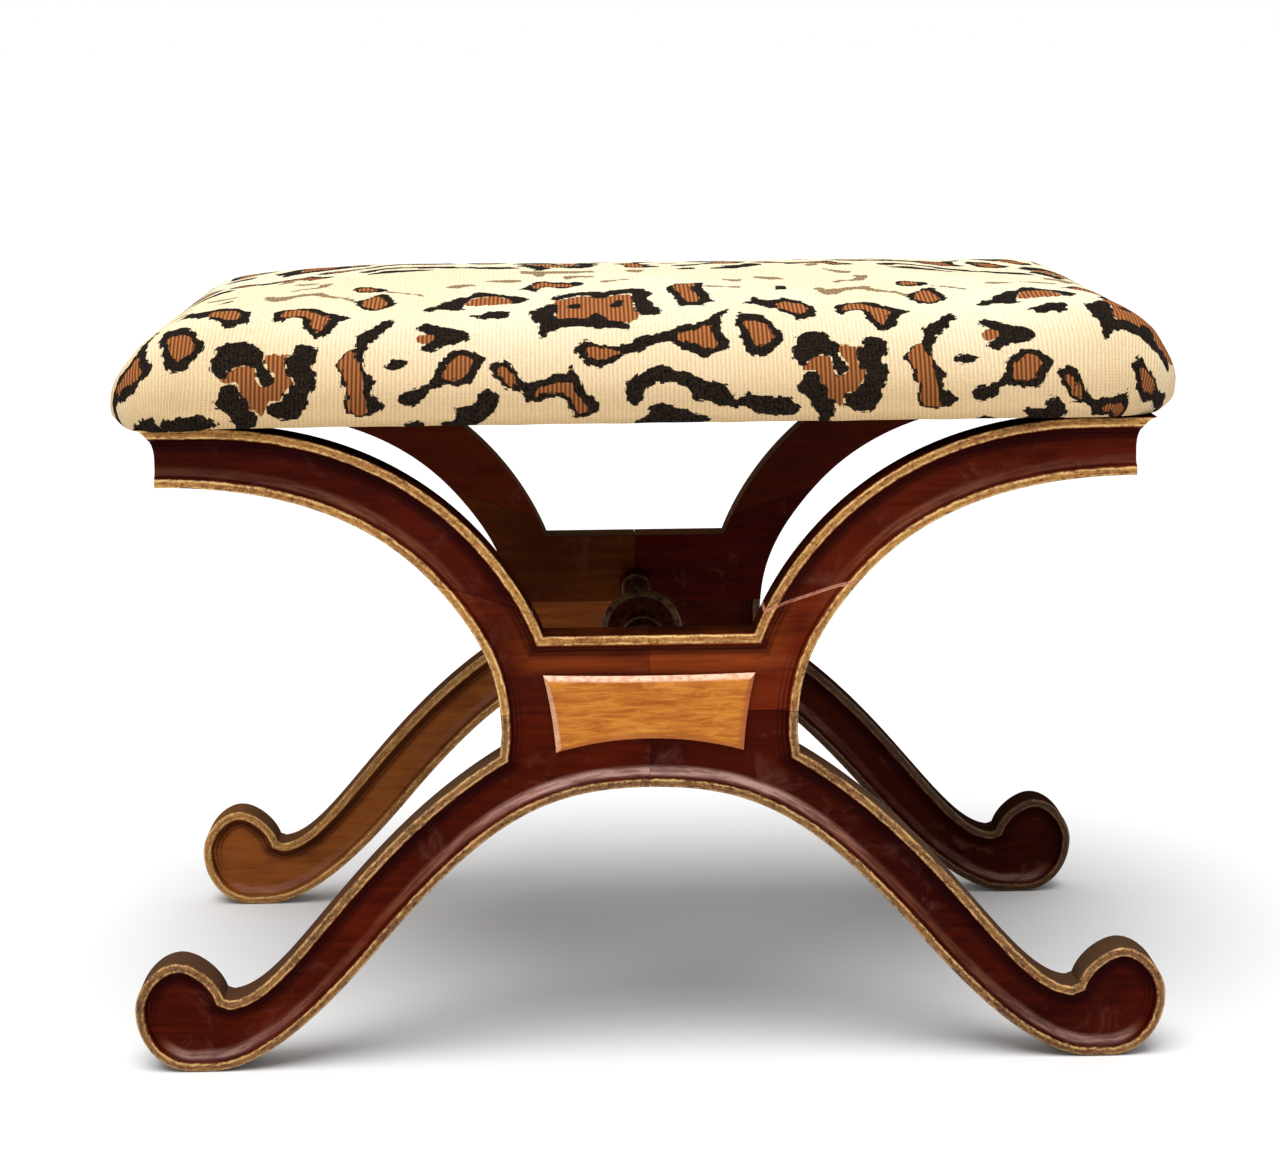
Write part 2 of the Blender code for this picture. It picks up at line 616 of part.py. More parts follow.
def add_fixings():
    for name, (centre, direction) in dowel_places().items():
        bm = bmesh.new()
        rod(bm, DOWEL_RADIUS, DOWEL_LENGTH, centre, direction, DOWEL_SIDES)
        add_part(name, mesh_from(bm, name), DOWEL_BEECH)
    for places, length in ((block_screw_places(), BLOCK_SCREW_LENGTH),
                           (seat_screw_places(), SEAT_SCREW_LENGTH)):
        for name, (head, drive) in places.items():
            screw = screw_solid(head - drive * CLEARANCE, drive, length + CLEARANCE)
            add_part(name, mesh_from(screw, name), STEEL)


def seat_ring(draw, corner_steps, middles=True):
    """A rounded rectangle, drawn in from the seat's widest outline, with a point mid-way on each side."""
    half_width = SEAT_HALF_WIDTH - draw
    half_depth = SEAT_HALF_DEPTH - draw
    radius = SEAT_CORNER_RADIUS * half_depth / SEAT_HALF_DEPTH
    points = []
    for quarter, (x, y) in enumerate(((1, 1), (-1, 1), (-1, -1), (1, -1))):
        centre = (x * (half_width - radius), y * (half_depth - radius))
        for step in range(corner_steps + 1):
            turn = math.pi / 2 * (quarter + step / corner_steps)
            points.append((centre[0] + radius * math.cos(turn), centre[1] + radius * math.sin(turn)))
        if middles:
            points.append((0, y * half_depth) if quarter % 2 == 0 else (x * half_width, 0))
    return points


def seat_cage(levels, creased, closed_base):
    """A cage lofted through seat rings at their levels, each level being how far it is drawn in and its
    height, with its top closed and its creased rings kept sharp."""
    bm = bmesh.new()
    crease = bm.edges.layers.float.new("crease_edge")
    loops = []
    for index, (draw, height) in enumerate(levels):
        verts = [bm.verts.new((x, y, height)) for x, y in seat_ring(draw, CORNER_STEPS)]
        edges = [bm.edges.new(pair) for pair in zip(verts, verts[1:] + verts[:1])]
        for edge in edges:
            edge[crease] = 1.0 if index in creased else 0.0
        loops.append((verts, edges))
    for (_, lower), (_, upper) in zip(loops, loops[1:]):
        bmesh.ops.bridge_loops(bm, edges=lower + upper)
    bm.faces.new(loops[-1][0])
    if closed_base:
        bm.faces.new(loops[0][0])
    return bm


def smooth_form(obj):
    subdivision = obj.modifiers.new("smooth", "SUBSURF")
    subdivision.levels = subdivision.render_levels = 1


def profile_levels(ease, lowest):
    """The seat's profile above a height, moved in and down by the ease."""
    levels = [(SEAT_HALF_DEPTH * draw + ease, SEAT_BASE + SEAT_RISE * rise - ease)
              for draw, rise in SEAT_PROFILE_SHARES]
    return [level for level in levels if level[1] > lowest]


def add_seat(holes):
    hem = [(SEAT_BASE_DRAW + HEM_WIDTH, SEAT_BASE), (SEAT_BASE_DRAW, SEAT_BASE)]
    cage = seat_cage(hem + profile_levels(0, SEAT_BASE), (0, 1), False)
    cover = add_part("seat_cover", mesh_from(cage, "seat_cover"), WOVEN_CLOTH)
    smooth_form(cover)
    wall = cover.modifiers.new("cloth", "SOLIDIFY")
    wall.thickness = COVER_THICKNESS
    wall.offset = -1
    wall.use_even_offset = True

    ease = COVER_THICKNESS + CLEARANCE + PAD_EASE
    levels = [(PAD_BASE_DRAW + ease, PAD_BASE)] + profile_levels(ease, PAD_BASE + CLEARANCE)
    pad = add_part("seat_pad", mesh_from(seat_cage(levels, (0,), True), "seat_pad"), FOAM)
    smooth_form(pad)

    for name, draw, base, thickness, finish in (
            ("seat_board", BOARD_DRAW, BOARD_BASE, BOARD_THICKNESS, PLYWOOD),
            ("dust_cover", DUST_COVER_DRAW, DUST_COVER_BASE, DUST_COVER_THICKNESS, BLACK_CAMBRIC)):
        outline = seat_ring(draw, BOARD_CORNER_STEPS, middles=False)
        solid = cutter(lying_prism(f"{name}_solid", outline, base, base + thickness))
        add_part(name, cut_mesh(solid, name, holes=holes), finish)
        bpy.data.objects.remove(solid)


HOLES = bores()
add_frames(HOLES)
add_tablets()
add_stretcher()
add_side_rails(HOLES)
add_corner_blocks(HOLES)
add_fixings()
add_seat(HOLES)
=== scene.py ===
"""The looks of the curule bench: carved and gilt frames, turned stretcher and a ribbed cloth seat."""
import math

import bmesh
import bpy
import numpy as np
from mathutils import Matrix, Vector


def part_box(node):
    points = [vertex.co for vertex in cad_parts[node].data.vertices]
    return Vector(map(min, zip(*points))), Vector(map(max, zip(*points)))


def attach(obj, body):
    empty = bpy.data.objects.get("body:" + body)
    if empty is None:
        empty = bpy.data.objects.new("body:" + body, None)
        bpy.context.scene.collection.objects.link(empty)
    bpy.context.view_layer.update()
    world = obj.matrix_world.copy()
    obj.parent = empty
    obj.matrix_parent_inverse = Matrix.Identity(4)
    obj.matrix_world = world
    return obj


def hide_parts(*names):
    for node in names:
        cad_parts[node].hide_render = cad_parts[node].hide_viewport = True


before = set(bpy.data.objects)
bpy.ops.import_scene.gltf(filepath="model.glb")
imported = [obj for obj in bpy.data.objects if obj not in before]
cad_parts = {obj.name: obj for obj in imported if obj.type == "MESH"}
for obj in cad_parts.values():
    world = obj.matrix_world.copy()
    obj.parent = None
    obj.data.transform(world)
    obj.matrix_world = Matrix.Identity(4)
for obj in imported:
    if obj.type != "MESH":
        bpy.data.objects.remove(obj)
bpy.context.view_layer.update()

MM = 0.001

# Frames, in metres, as the solids have them
HALF_SPAN = 334.4 * MM
FRAME_HEIGHT = 419.5 * MM
FRAME_DEPTH = 406 * MM
FRAME_THICKNESS = 30 * MM
FRAME_FRONT = -FRAME_DEPTH / 2
FRAME_INSIDE = FRAME_FRONT + FRAME_THICKNESS
HALF_GAP = 0.15 * MM
OVERRUN = 20 * MM

RAIL_HEIGHT = 284.5 * MM
ARCH_HEIGHT = 185.3 * MM
HUB_JOINT_HEIGHT = 234 * MM
WAIST = (94.5 * MM, 219 * MM)
SHOULDER = (96 * MM, 207 * MM)
RAIL_CORNER = (67 * MM, 284.5 * MM)
TOE = (298 * MM, 0)
HEEL = (286 * MM, 0)
SCROLL_SIDE = (334.4 * MM, 41 * MM)
SCROLL_TOP = (306 * MM, 73 * MM)
CURL = (277 * MM, 49 * MM)
NOTCH = (273 * MM, 47.5 * MM)
ARM_END = 308.5 * MM
ARM_FOOT = (308.5 * MM, 383 * MM)
ARM_CREST = (280 * MM, 419.5 * MM)
CORNICE_REACH = 12.5 * MM
CORNICE_HEIGHT = 18.5 * MM

LEG_MIDDLE_SHARES = (0.587, 0.51)
ARCH_SHARES = ((0.39, 0), (0.607, 0.204))
LEG_LOWER_SHARES = ((0.153, 0.228), (0.627, 1))
FOOT_HEEL_SHARES = ((0.577, 0), (1, 0.44))
FOOT_CROWN_SHARES = ((0, 0.447), (0.475, 1))
FOOT_CURL_SHARES = ((0.345, 0), (0.862, 0.458))
LEG_UPPER_SHARES = ((0.215, 0.022), (0.446, 0.627))
ARM_ELBOW_SHARES = (0.171, 0.579)
ARM_RISE_SHARES = ((0, 0.326), (0.12, 0.597))
ARM_LOWER_SHARES = ((0.118, 0.355), (0.366, 1))
ARM_UPPER_SHARES = ((0.676, 0), (0.934, 0.73))
OUTLINE_SPACING = 2.2 * MM

BEAD_WIDTH = 6.6 * MM
BEAD_RISE = 2 * MM
COVE_WIDTH = 6.2 * MM
COVE_FALL = 3 * MM
FIELD_FACE = FRAME_FRONT + BEAD_RISE + COVE_FALL
SCARF_TOP = (75.98 * MM, 300.03 * MM)
SCARF_FOOT = (144.79 * MM, 322.32 * MM)

# What the moulding's own map says: across it the distance in from the edge, past this mark
EDGE_MARK = 0.1

STRETCHER_HEIGHT = 247.5 * MM
STRETCHER_RADIUS = 28.3 * MM
STRETCHER_HALF_LENGTH = 172.7 * MM

SIDE_RAIL_THICKNESS = 24 * MM

SEAT_HALF_WIDTH = 335 * MM
SEAT_HALF_DEPTH = 213 * MM
SEAT_CORNER_RADIUS = 48 * MM
SEAT_BASE = 420.9 * MM

TINY = 1e-9  # keeps a length of nought out of a division
CRISP_ANGLE = math.radians(40)


# Meshes

def grid_quads(rows, columns, closed):
    """Quads between the neighbours of a grid of points, numbered row by row. A closed grid joins its last
    column to its first."""
    across = np.arange(columns if closed else columns - 1)
    row, column = np.meshgrid(np.arange(rows - 1), across, indexing="ij")
    here = row * columns + column
    beside = row * columns + (column + 1) % columns
    return np.stack([here, beside, beside + columns, here + columns], -1).reshape(-1, 4)


def capped_quads(rows, columns):
    """The quads of a closed grid, and a flat face over its first row and over its last."""
    ring = np.arange(columns)
    return [*grid_quads(rows, columns, True), ring[::-1], ring + (rows - 1) * columns]


def grid_rim(rows, columns):
    """The numbers of a grid's outer points, once round."""
    numbers = np.arange(rows * columns).reshape(rows, columns)
    return np.concatenate([numbers[0], numbers[1:, -1], numbers[-1, -2::-1], numbers[-2:0:-1, 0]])


def new_mesh(name, vertices, faces, **corner_maps):
    """A mesh from arrays; each named map gives every face corner two values."""
    mesh = bpy.data.meshes.new(name)
    mesh.from_pydata(np.asarray(vertices, float).reshape(-1, 3), [], [list(face) for face in faces])
    for map_name, values in corner_maps.items():
        layer = mesh.uv_layers.new(name=map_name)
        layer.data.foreach_set("uv", np.asarray(values, np.float32).ravel())
    return mesh


def turn_faces_out(mesh):
    """The mesh itself, with each face turned to look out of the body."""
    bm = bmesh.new()
    bm.from_mesh(mesh)
    bmesh.ops.recalc_face_normals(bm, faces=bm.faces)
    bm.to_mesh(mesh)
    bm.free()
    return mesh


def shown(name, data):
    """A new object, put in the scene."""
    item = bpy.data.objects.new(name, data)
    bpy.context.scene.collection.objects.link(item)
    return item


def evaluated(item):
    """What an object's modifiers make of its mesh. The object itself goes."""
    mesh = bpy.data.meshes.new_from_object(item.evaluated_get(bpy.context.evaluated_depsgraph_get()))
    bpy.data.objects.remove(item)
    return mesh


def new_piece(name, mesh, material, replaced, crisp=True):
    """Put a finished mesh among the pieces of the bench, in place of the solids that it stands for."""
    mesh.materials.clear()
    mesh.materials.append(material)
    mesh.shade_smooth()
    if crisp:
        mesh.set_sharp_from_angle(angle=CRISP_ANGLE)
    piece = shown(name, mesh)
    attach(piece, "root")
    if replaced:
        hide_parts(*replaced)
    return piece


def mirrored(mesh):
    """The same mesh on the other side of the middle: x is turned round, and so is each face."""
    result = mesh.copy()
    bm = bmesh.new()
    bm.from_mesh(result)
    bmesh.ops.scale(bm, vec=(-1, 1, 1), verts=bm.verts)
    bmesh.ops.reverse_faces(bm, faces=bm.faces)
    bm.to_mesh(result)
    bm.free()
    return result


def half_turned(mesh):
    """The same mesh, half a turn round the plumb line through the middle."""
    result = mesh.copy()
    result.transform(Matrix.Rotation(math.pi, 4, "Z"))
    return result


# Outlines

def along(start, end, shares):
    """The place at a share of the way across and a share of the way up, from the start to the end."""
    start, end = np.array(start), np.array(end)
    return start + (end - start) * np.array(shares)


def run_along(points):
    """How far along a line of points each one lies: the sum of the steps up to it."""
    return np.r_[0, np.cumsum(np.hypot(*np.diff(points, axis=0).T))]


def resampled(points, at):
    """The places on a line of points at the given runs along it."""
    run = run_along(points)
    return np.stack([np.interp(at, run, values) for values in points.T], -1)


def smoothed(points, passes):
    """A line of points, each but the first and last moved to half its own place and a quarter of each
    neighbour's, once for each pass."""
    for _ in range(passes):
        points[1:-1] = (points[:-2] + 2 * points[1:-1] + points[2:]) / 4
    return points


def stretch(start, end, pulls):
    """Points after the start of one stretch, evenly spaced: a cubic curve drawn towards its two pulls, or a
    straight line."""
    start, end = np.array(start, float), np.array(end, float)
    t = np.linspace(0, 1, 241)[:, None]
    if pulls:
        first, second = (along(start, end, pull) for pull in pulls)
        s = 1 - t
        fine = start * s ** 3 + first * (3 * s * s * t) + second * (3 * s * t * t) + end * t ** 3
    else:
        fine = start + (end - start) * t
    length = run_along(fine)[-1]
    steps = max(1, math.ceil(length / OUTLINE_SPACING))
    return resampled(fine, np.linspace(0, length, steps + 1)[1:])


def half_frame_outline():
    """The right half of a frame's outline in XZ, with a short run past the middle, closed."""
    run_out = ARM_END + CORNICE_REACH + OVERRUN
    crown = (0, ARCH_HEIGHT)
    stretches = [
        (crown, None),
        (along(crown, HEEL, LEG_MIDDLE_SHARES), ARCH_SHARES),
        (HEEL, LEG_LOWER_SHARES),
        (TOE, None),
        (SCROLL_SIDE, FOOT_HEEL_SHARES),
        (SCROLL_TOP, FOOT_CROWN_SHARES),
        (CURL, FOOT_CURL_SHARES),
        (NOTCH, None),
        (SHOULDER, LEG_UPPER_SHARES),
        (WAIST, None),
        (along(WAIST, ARM_FOOT, ARM_ELBOW_SHARES), ARM_RISE_SHARES),
        (ARM_FOOT, ARM_LOWER_SHARES),
        ((run_out, ARM_FOOT[1]), None),
        ((run_out, FRAME_HEIGHT), None),
        (ARM_CREST, None),
        (RAIL_CORNER, ARM_UPPER_SHARES),
        ((-OVERRUN, RAIL_HEIGHT), None)]
    points = [np.array([[-OVERRUN, ARCH_HEIGHT]])]
    for end, pulls in stretches:
        points.append(stretch(points[-1][-1], end, pulls))
    return np.concatenate(points)


def mitres(outline):
    """How far and which way each point moves when its outline goes in by one: the sum of the inward normals
    of its two edges, over one plus their product. The inside lies on the left."""
    edge = np.roll(outline, -1, axis=0) - outline
    edge /= np.maximum(np.hypot(*edge.T), TINY)[:, None]
    after = np.stack([-edge[:, 1], edge[:, 0]], -1)
    before = np.roll(after, 1, axis=0)
    return (before + after) / (1 + (before * after).sum(1))[:, None]


def moulded_slab(name, outline, levels, rings=None):
    """A slab with worked edges: ring k is the outline moved in along its mitres by the level's inset, or is
    given, and lies at the level's y. Each level is (inset, y, map value towards the one before, map value
    towards the next). The first and the last ring are closed with flat faces. One map holds the run along
    the edge and those values; the other holds which way is in, from -1 to 1 as 0 to 1, up and across."""
    inward = mitres(outline)
    inset = np.array([level[0] for level in levels])[:, None, None]
    plane = outline[None] + inward[None] * inset if rings is None else rings
    rows, count = plane.shape[:2]
    y = np.broadcast_to(np.array([level[1] for level in levels])[:, None], (rows, count))
    run = run_along(np.vstack([outline, outline[:1]]))
    here, beside = np.tile(run[:-1], rows - 1), np.tile(run[1:], rows - 1)
    near = np.repeat([level[3] for level in levels[:-1]], count)
    far = np.repeat([level[2] for level in levels[1:]], count)
    moulding = np.stack([here, near, beside, near, beside, far, here, far], -1).reshape(-1, 2)
    end_map = [np.column_stack([run[:-1], np.full(count, levels[k][3 if k else 2])]) for k in (0, -1)]
    lean = np.clip(inward[:, ::-1] / 2 + 0.5, 0, 1)
    after = np.roll(lean, -1, axis=0)
    leans = np.tile(np.stack([lean, after, after, lean], 1), (rows - 1, 1, 1)).reshape(-1, 2)
    return new_mesh(name, np.stack([plane[..., 0], y, plane[..., 1]], -1), capped_quads(rows, count),
                    moulding=np.concatenate([moulding, *end_map]),
                    lean=np.concatenate([leans, np.full((2 * count, 2), 0.5)]))


def moulding_levels(face, way):
    """The worked edge from the field outwards: two rings on the flat field, the hollow (a quarter of an
    ellipse, steep beside the bead) and the bead (half an ellipse). The way is 1 where depth runs to +y."""
    quirk, drop = 0.35 * MM, 0.5 * MM
    levels = [(BEAD_WIDTH + COVE_WIDTH + past, BEAD_RISE + COVE_FALL) for past in (2.6 * MM, 1.2 * MM)]
    for turn in np.linspace(math.pi / 2, 0, 9)[:-1]:
        levels.append((BEAD_WIDTH + quirk + (COVE_WIDTH - quirk) * (1 - math.cos(turn)),
                       BEAD_RISE + drop + (COVE_FALL - drop) * math.sin(turn)))
    levels += [(BEAD_WIDTH + quirk, BEAD_RISE + quirk), (BEAD_WIDTH, BEAD_RISE)]
    for turn in np.linspace(math.pi, 0, 11)[1:]:
        levels.append((BEAD_WIDTH * (1 - math.cos(turn)) / 2, BEAD_RISE * (1 - math.sin(turn))))
    return [(inset, face + way * depth, EDGE_MARK + inset, EDGE_MARK + inset) for inset, depth in levels]


def plain_back_levels(back):
    """The eased edge and flat of a face without moulding; its map value is nought."""
    arris = 0.7 * MM
    levels = [(arris * (1 - math.sin(turn)), back - arris * (1 - math.cos(turn)), 0, 0)
              for turn in np.linspace(math.pi / 2, 0, 4)]
    levels[0] = (*levels[0][:2], EDGE_MARK - FRAME_THICKNESS, 0)
    return levels + [(1.5 * MM, back, 0, 0), (3 * MM, back, 0, 0)]


def frame_half(name, moulded_inside):
    """The right half of a frame in one board, moulded in front, and inside too for the legs."""
    levels = moulding_levels(FRAME_FRONT, 1)
    if moulded_inside:
        half = FRAME_THICKNESS / 2
        levels.append((0, FRAME_FRONT + half, EDGE_MARK - half, EDGE_MARK - half))
        levels += moulding_levels(FRAME_INSIDE, -1)[::-1]
    else:
        levels += plain_back_levels(FRAME_INSIDE)
    return turn_faces_out(moulded_slab(name, half_frame_outline(), levels))


def end_profile(base):
    """The outer edge of arm ends and side rails in XZ, upwards: plumb, then a quarter of an ellipse out."""
    turn = np.linspace(0, math.pi / 2, 15)
    flare = np.stack([ARM_END + CORNICE_REACH * (1 - np.cos(turn)),
                      FRAME_HEIGHT - CORNICE_HEIGHT + CORNICE_HEIGHT * np.sin(turn)], -1)
    return np.concatenate([[[ARM_END, base]], flare])


def prism(name, outline, front, back):
    """A closed block: the outline in XZ at its front and back y."""
    outline = np.asarray(outline, float)
    count = len(outline)
    vertices = np.insert(np.tile(outline, (2, 1)), 1, np.repeat([front, back], count), axis=1)
    return turn_faces_out(new_mesh(name, vertices, capped_quads(2, count)))


def quarter_outlines():
    """The outlines in XZ that part the right half of a frame into leg, hub and arm."""
    top, foot = np.array(SCARF_TOP), np.array(SCARF_FOOT)
    run = (foot - top) / np.hypot(*(foot - top))
    square = np.array([-run[1], run[0]]) * HALF_GAP
    top, foot = top - run * OVERRUN / 2, foot + run * OVERRUN
    out = HALF_SPAN + OVERRUN
    leg = [(HALF_GAP, -OVERRUN), (out, -OVERRUN), (out, HUB_JOINT_HEIGHT - HALF_GAP),
           (HALF_GAP, HUB_JOINT_HEIGHT - HALF_GAP)]
    hub_foot, hub_top = foot - square, top - square
    hub = [(HALF_GAP, HUB_JOINT_HEIGHT + HALF_GAP), (hub_foot[0], HUB_JOINT_HEIGHT + HALF_GAP), hub_foot,
           hub_top, (HALF_GAP, hub_top[1])]
    arm_foot, arm_top = foot + square, top + square
    ceiling = FRAME_HEIGHT + OVERRUN
    arm = [arm_top, arm_foot, *end_profile(arm_foot[1]), (ARM_END + CORNICE_REACH, ceiling),
           (arm_top[0], ceiling)]
    return {"leg": leg, "hub": hub, "arm": arm}


def cut_out(board, outline, name):
    """The part of a board that lies inside an outline in XZ."""
    tool = shown("region", prism("region", outline, FRAME_FRONT - OVERRUN, FRAME_INSIDE + OVERRUN))
    body = shown(name, board)
    boolean = body.modifiers.new("part", "BOOLEAN")
    boolean.operation = "INTERSECT"
    boolean.object = tool
    boolean.solver = "EXACT"
    bpy.context.view_layer.update()
    mesh = evaluated(body)
    mesh.name = name
    bpy.data.objects.remove(tool)
    return mesh


def add_frames(wood):
    """Twelve quarters: leg, hub and arm, right and left, on the front frame and half turned at the back."""
    boards = {True: frame_half("leg_board", True), False: frame_half("upper_board", False)}
    for part, outline in quarter_outlines().items():
        right = turn_faces_out(cut_out(boards[part == "leg"], outline, f"carved_{part}"))
        for side, front_mesh in (("right", right), ("left", mirrored(right))):
            opposite = "left" if side == "right" else "right"
            new_piece(f"carved_front_{part}_{side}", front_mesh, wood[part, side, "front"],
                      (f"front_{part}_{side}",))
            new_piece(f"carved_back_{part}_{opposite}", half_turned(front_mesh),
                      wood[part, opposite, "back"], (f"back_{part}_{opposite}",))


# Materials

# The frames' finish across their moulding, in mm in from the edge: each band starts, is full, starts to
# fade and ends at these marks
GILDING = (-0.5, 0.4, 5.1, 6.0)
OUTER_RIM = (0.0, 0.5, 0.8, 1.8)
INNER_RIM = (3.6, 4.6, 5.1, 5.7)
# Below, the first band takes a painted highlight where the hollow faces up; the other four take painted
# shade: in the quirk, in the hollow where it faces down, on a line in the hollow and at the field's lip
LIT_HOLLOW = (6.2, 8.8, 10.4, 14.6)
QUIRK = (6.3, 6.8, 7.3, 8.6)
SHADED_HOLLOW = (6.6, 7.4, 9.0, 17.0)
DARK_LINE = (9.0, 9.6, 10.0, 10.8)
FIELD_LIP = (11.8, 12.6, 12.9, 14.0)

TABLET_BEVEL = (-0.6, 0.1, 2.2, 4.2)

# Gilt rings on the stretcher, in mm from its middle, and the middle ring's rim from its axis
INNER_RING = (24.8, 25.8, 31.2, 32.2)
OUTER_RING = (148.6, 149.6, 154.8, 155.8)
MIDDLE_RING = (23.5, 24.6)

TO_MM = 1000.0
RIB_PITCH = 2.7
PICK_PITCH = 1.6


def srgb(red, green, blue):
    """A colour as the eye reads it, 0 to 255, in the linear numbers that a shader takes."""
    value = np.array([red, green, blue]) / 255
    value = np.where(value <= 0.04045, value / 12.92, ((value + 0.055) / 1.055) ** 2.4)
    return (*map(float, value), 1.0)


class Finish:
    """A material with short ways to add and join its nodes."""

    def __init__(self, name, **sockets):
        self.material = bpy.data.materials.new(name)
        self.material.use_nodes = True
        self.tree = self.material.node_tree
        self.shader = self.tree.nodes["Principled BSDF"]
        for socket, value in sockets.items():
            self.shader.inputs[socket.replace("_", " ")].default_value = value

    def node(self, kind, **settings):
        result = self.tree.nodes.new(kind)
        for name, value in settings.items():
            setattr(result, name, value)
        return result

    def put(self, socket, value):
        if isinstance(value, bpy.types.NodeSocket):
            self.tree.links.new(value, socket)
        else:
            socket.default_value = value

    def maths(self, operation, *values):
        result = self.node("ShaderNodeMath", operation=operation)
        for socket, value in zip(result.inputs, values):
            self.put(socket, value)
        return result.outputs[0]

    def times(self, value, *others):
        for other in others:
            value = self.maths("MULTIPLY", value, other)
        return value

    def plus(self, value, *others):
        for other in others:
            value = self.maths("ADD", value, other)
        return value

    def less(self, first, second):
        return self.maths("SUBTRACT", first, second)

    def most(self, first, second):
        return self.maths("MAXIMUM", first, second)

    def step(self, value, low, high, from_value=0.0, to_value=1.0):
        """Smooth step from one value to another as the input goes from low to high."""
        result = self.node("ShaderNodeMapRange", interpolation_type="SMOOTHSTEP")
        for socket, number in zip(result.inputs, (value, low, high, from_value, to_value)):
            self.put(socket, number)
        return result.outputs[0]

    def fall(self, value, low, high):
        """Smooth step down from one to nought."""
        return self.step(value, low, high, 1.0, 0.0)

    def band(self, value, marks):
        """One between the inner two of four marks and nought past the outer two."""
        return self.times(self.step(value, *marks[:2]), self.fall(value, *marks[2:]))

    def wave(self, value, height):
        """A sine once for each unit of the value, from nought to twice the height."""
        return self.times(self.plus(self.maths("SINE", self.times(value, 2 * math.pi)), 1.0), height)

    def mix(self, share, first, second):
        result = self.node("ShaderNodeMix", data_type="RGBA")
        self.put(result.inputs[0], share)
        self.put(result.inputs[6], first)
        self.put(result.inputs[7], second)
        return result.outputs[2]

    def uv_map(self, name):
        return self.node("ShaderNodeUVMap", uv_map=name).outputs[0]

    def place(self, start=None, scale=(1, 1, 1), turn=(0, 0, 0), shift=(0, 0, 0)):
        """The place in the object, or the start that is given, scaled, turned and shifted."""
        mapping = self.node("ShaderNodeMapping")
        self.put(mapping.inputs[0], start or self.node("ShaderNodeTexCoord").outputs["Object"])
        mapping.inputs["Location"].default_value = shift
        mapping.inputs["Rotation"].default_value = [math.radians(angle) for angle in turn]
        mapping.inputs["Scale"].default_value = scale
        return mapping.outputs[0]

    def noise(self, vector, scale, detail=3.0, roughness=0.55, distortion=0.0):
        result = self.node("ShaderNodeTexNoise")
        self.put(result.inputs["Vector"], vector)
        for socket, value in (("Scale", scale), ("Detail", detail), ("Roughness", roughness),
                              ("Distortion", distortion)):
            result.inputs[socket].default_value = value
        return result.outputs[0]

    def bump(self, height, distance, strength, before=None):
        result = self.node("ShaderNodeBump")
        result.inputs["Strength"].default_value = strength
        result.inputs["Distance"].default_value = distance
        self.put(result.inputs["Height"], height)
        if before:
            self.put(result.inputs["Normal"], before)
        return result.outputs[0]

    def split(self, vector):
        result = self.node("ShaderNodeSeparateXYZ")
        self.put(result.inputs[0], vector)
        return result.outputs

    def join(self, x, y):
        result = self.node("ShaderNodeCombineXYZ")
        self.put(result.inputs[0], x)
        self.put(result.inputs[1], y)
        return result.outputs[0]

    def edge_inset(self):
        """The distance in from the worked edge, in mm, less than nought on the plumb side."""
        return self.times(self.less(self.split(self.uv_map("moulding"))[1], EDGE_MARK), TO_MM)

    def lean(self):
        """How far inwards is up, and how far it is to the right, from -1 to 1, at the nearest edge."""
        return [self.maths("MULTIPLY_ADD", part, 2.0, -1.0) for part in self.split(self.uv_map("lean"))[:2]]

    def finish(self, **sockets):
        for socket, value in sockets.items():
            self.put(self.shader.inputs[socket.replace("_", " ")], value)
        return self.material


def figured_wood(m, grain_turn, shift, dark, light):
    """The polished wood's own figure: long streaks and clouds from dark to light, dark pores, and the grey
    bloom of old polish. Also gives the streaks and the clouds."""
    grain = {"turn": (0, grain_turn, 0), "shift": shift}
    streaks = m.noise(m.place(scale=(1, 1, 10), **grain), 20, 5, 0.62, 0.5)
    pores = m.noise(m.place(scale=(1, 1, 26), **grain), 70, 3, 0.6)
    clouds = m.noise(m.place(shift=shift), 11, 3)
    bloom = m.noise(m.place(shift=shift), 34, 5, 0.7, 0.6)
    tone = m.plus(m.times(streaks, 0.45), m.times(clouds, 0.6))
    wood = m.mix(m.step(tone, 0.4, 0.66), dark, light)
    wood = m.mix(m.step(pores, 0.56, 0.74, 0.0, 0.4), wood, srgb(26, 4, 3))
    wood = m.mix(m.step(bloom, 0.52, 0.74, 0.0, 0.42), wood, srgb(108, 62, 50))
    return wood, streaks, clouds


def crack_share(m, x, z, crack, grit, patches):
    """How far a crack shows. It is a line in XZ, (across, up, distance): the distance from it is across
    times x and up times z, less its own, and grit makes it ragged. It starts at the rail's upper corner."""
    off = m.less(m.plus(m.times(x, crack[0]), m.times(z, crack[1])), crack[2])
    away = m.plus(m.times(m.maths("ABSOLUTE", off), TO_MM), m.times(grit, 0.9))
    return m.times(m.fall(away, 0.6, 1.2), m.step(patches, 0.36, 0.52, 0.4, 0.95), m.step(x, 0.066, 0.074))


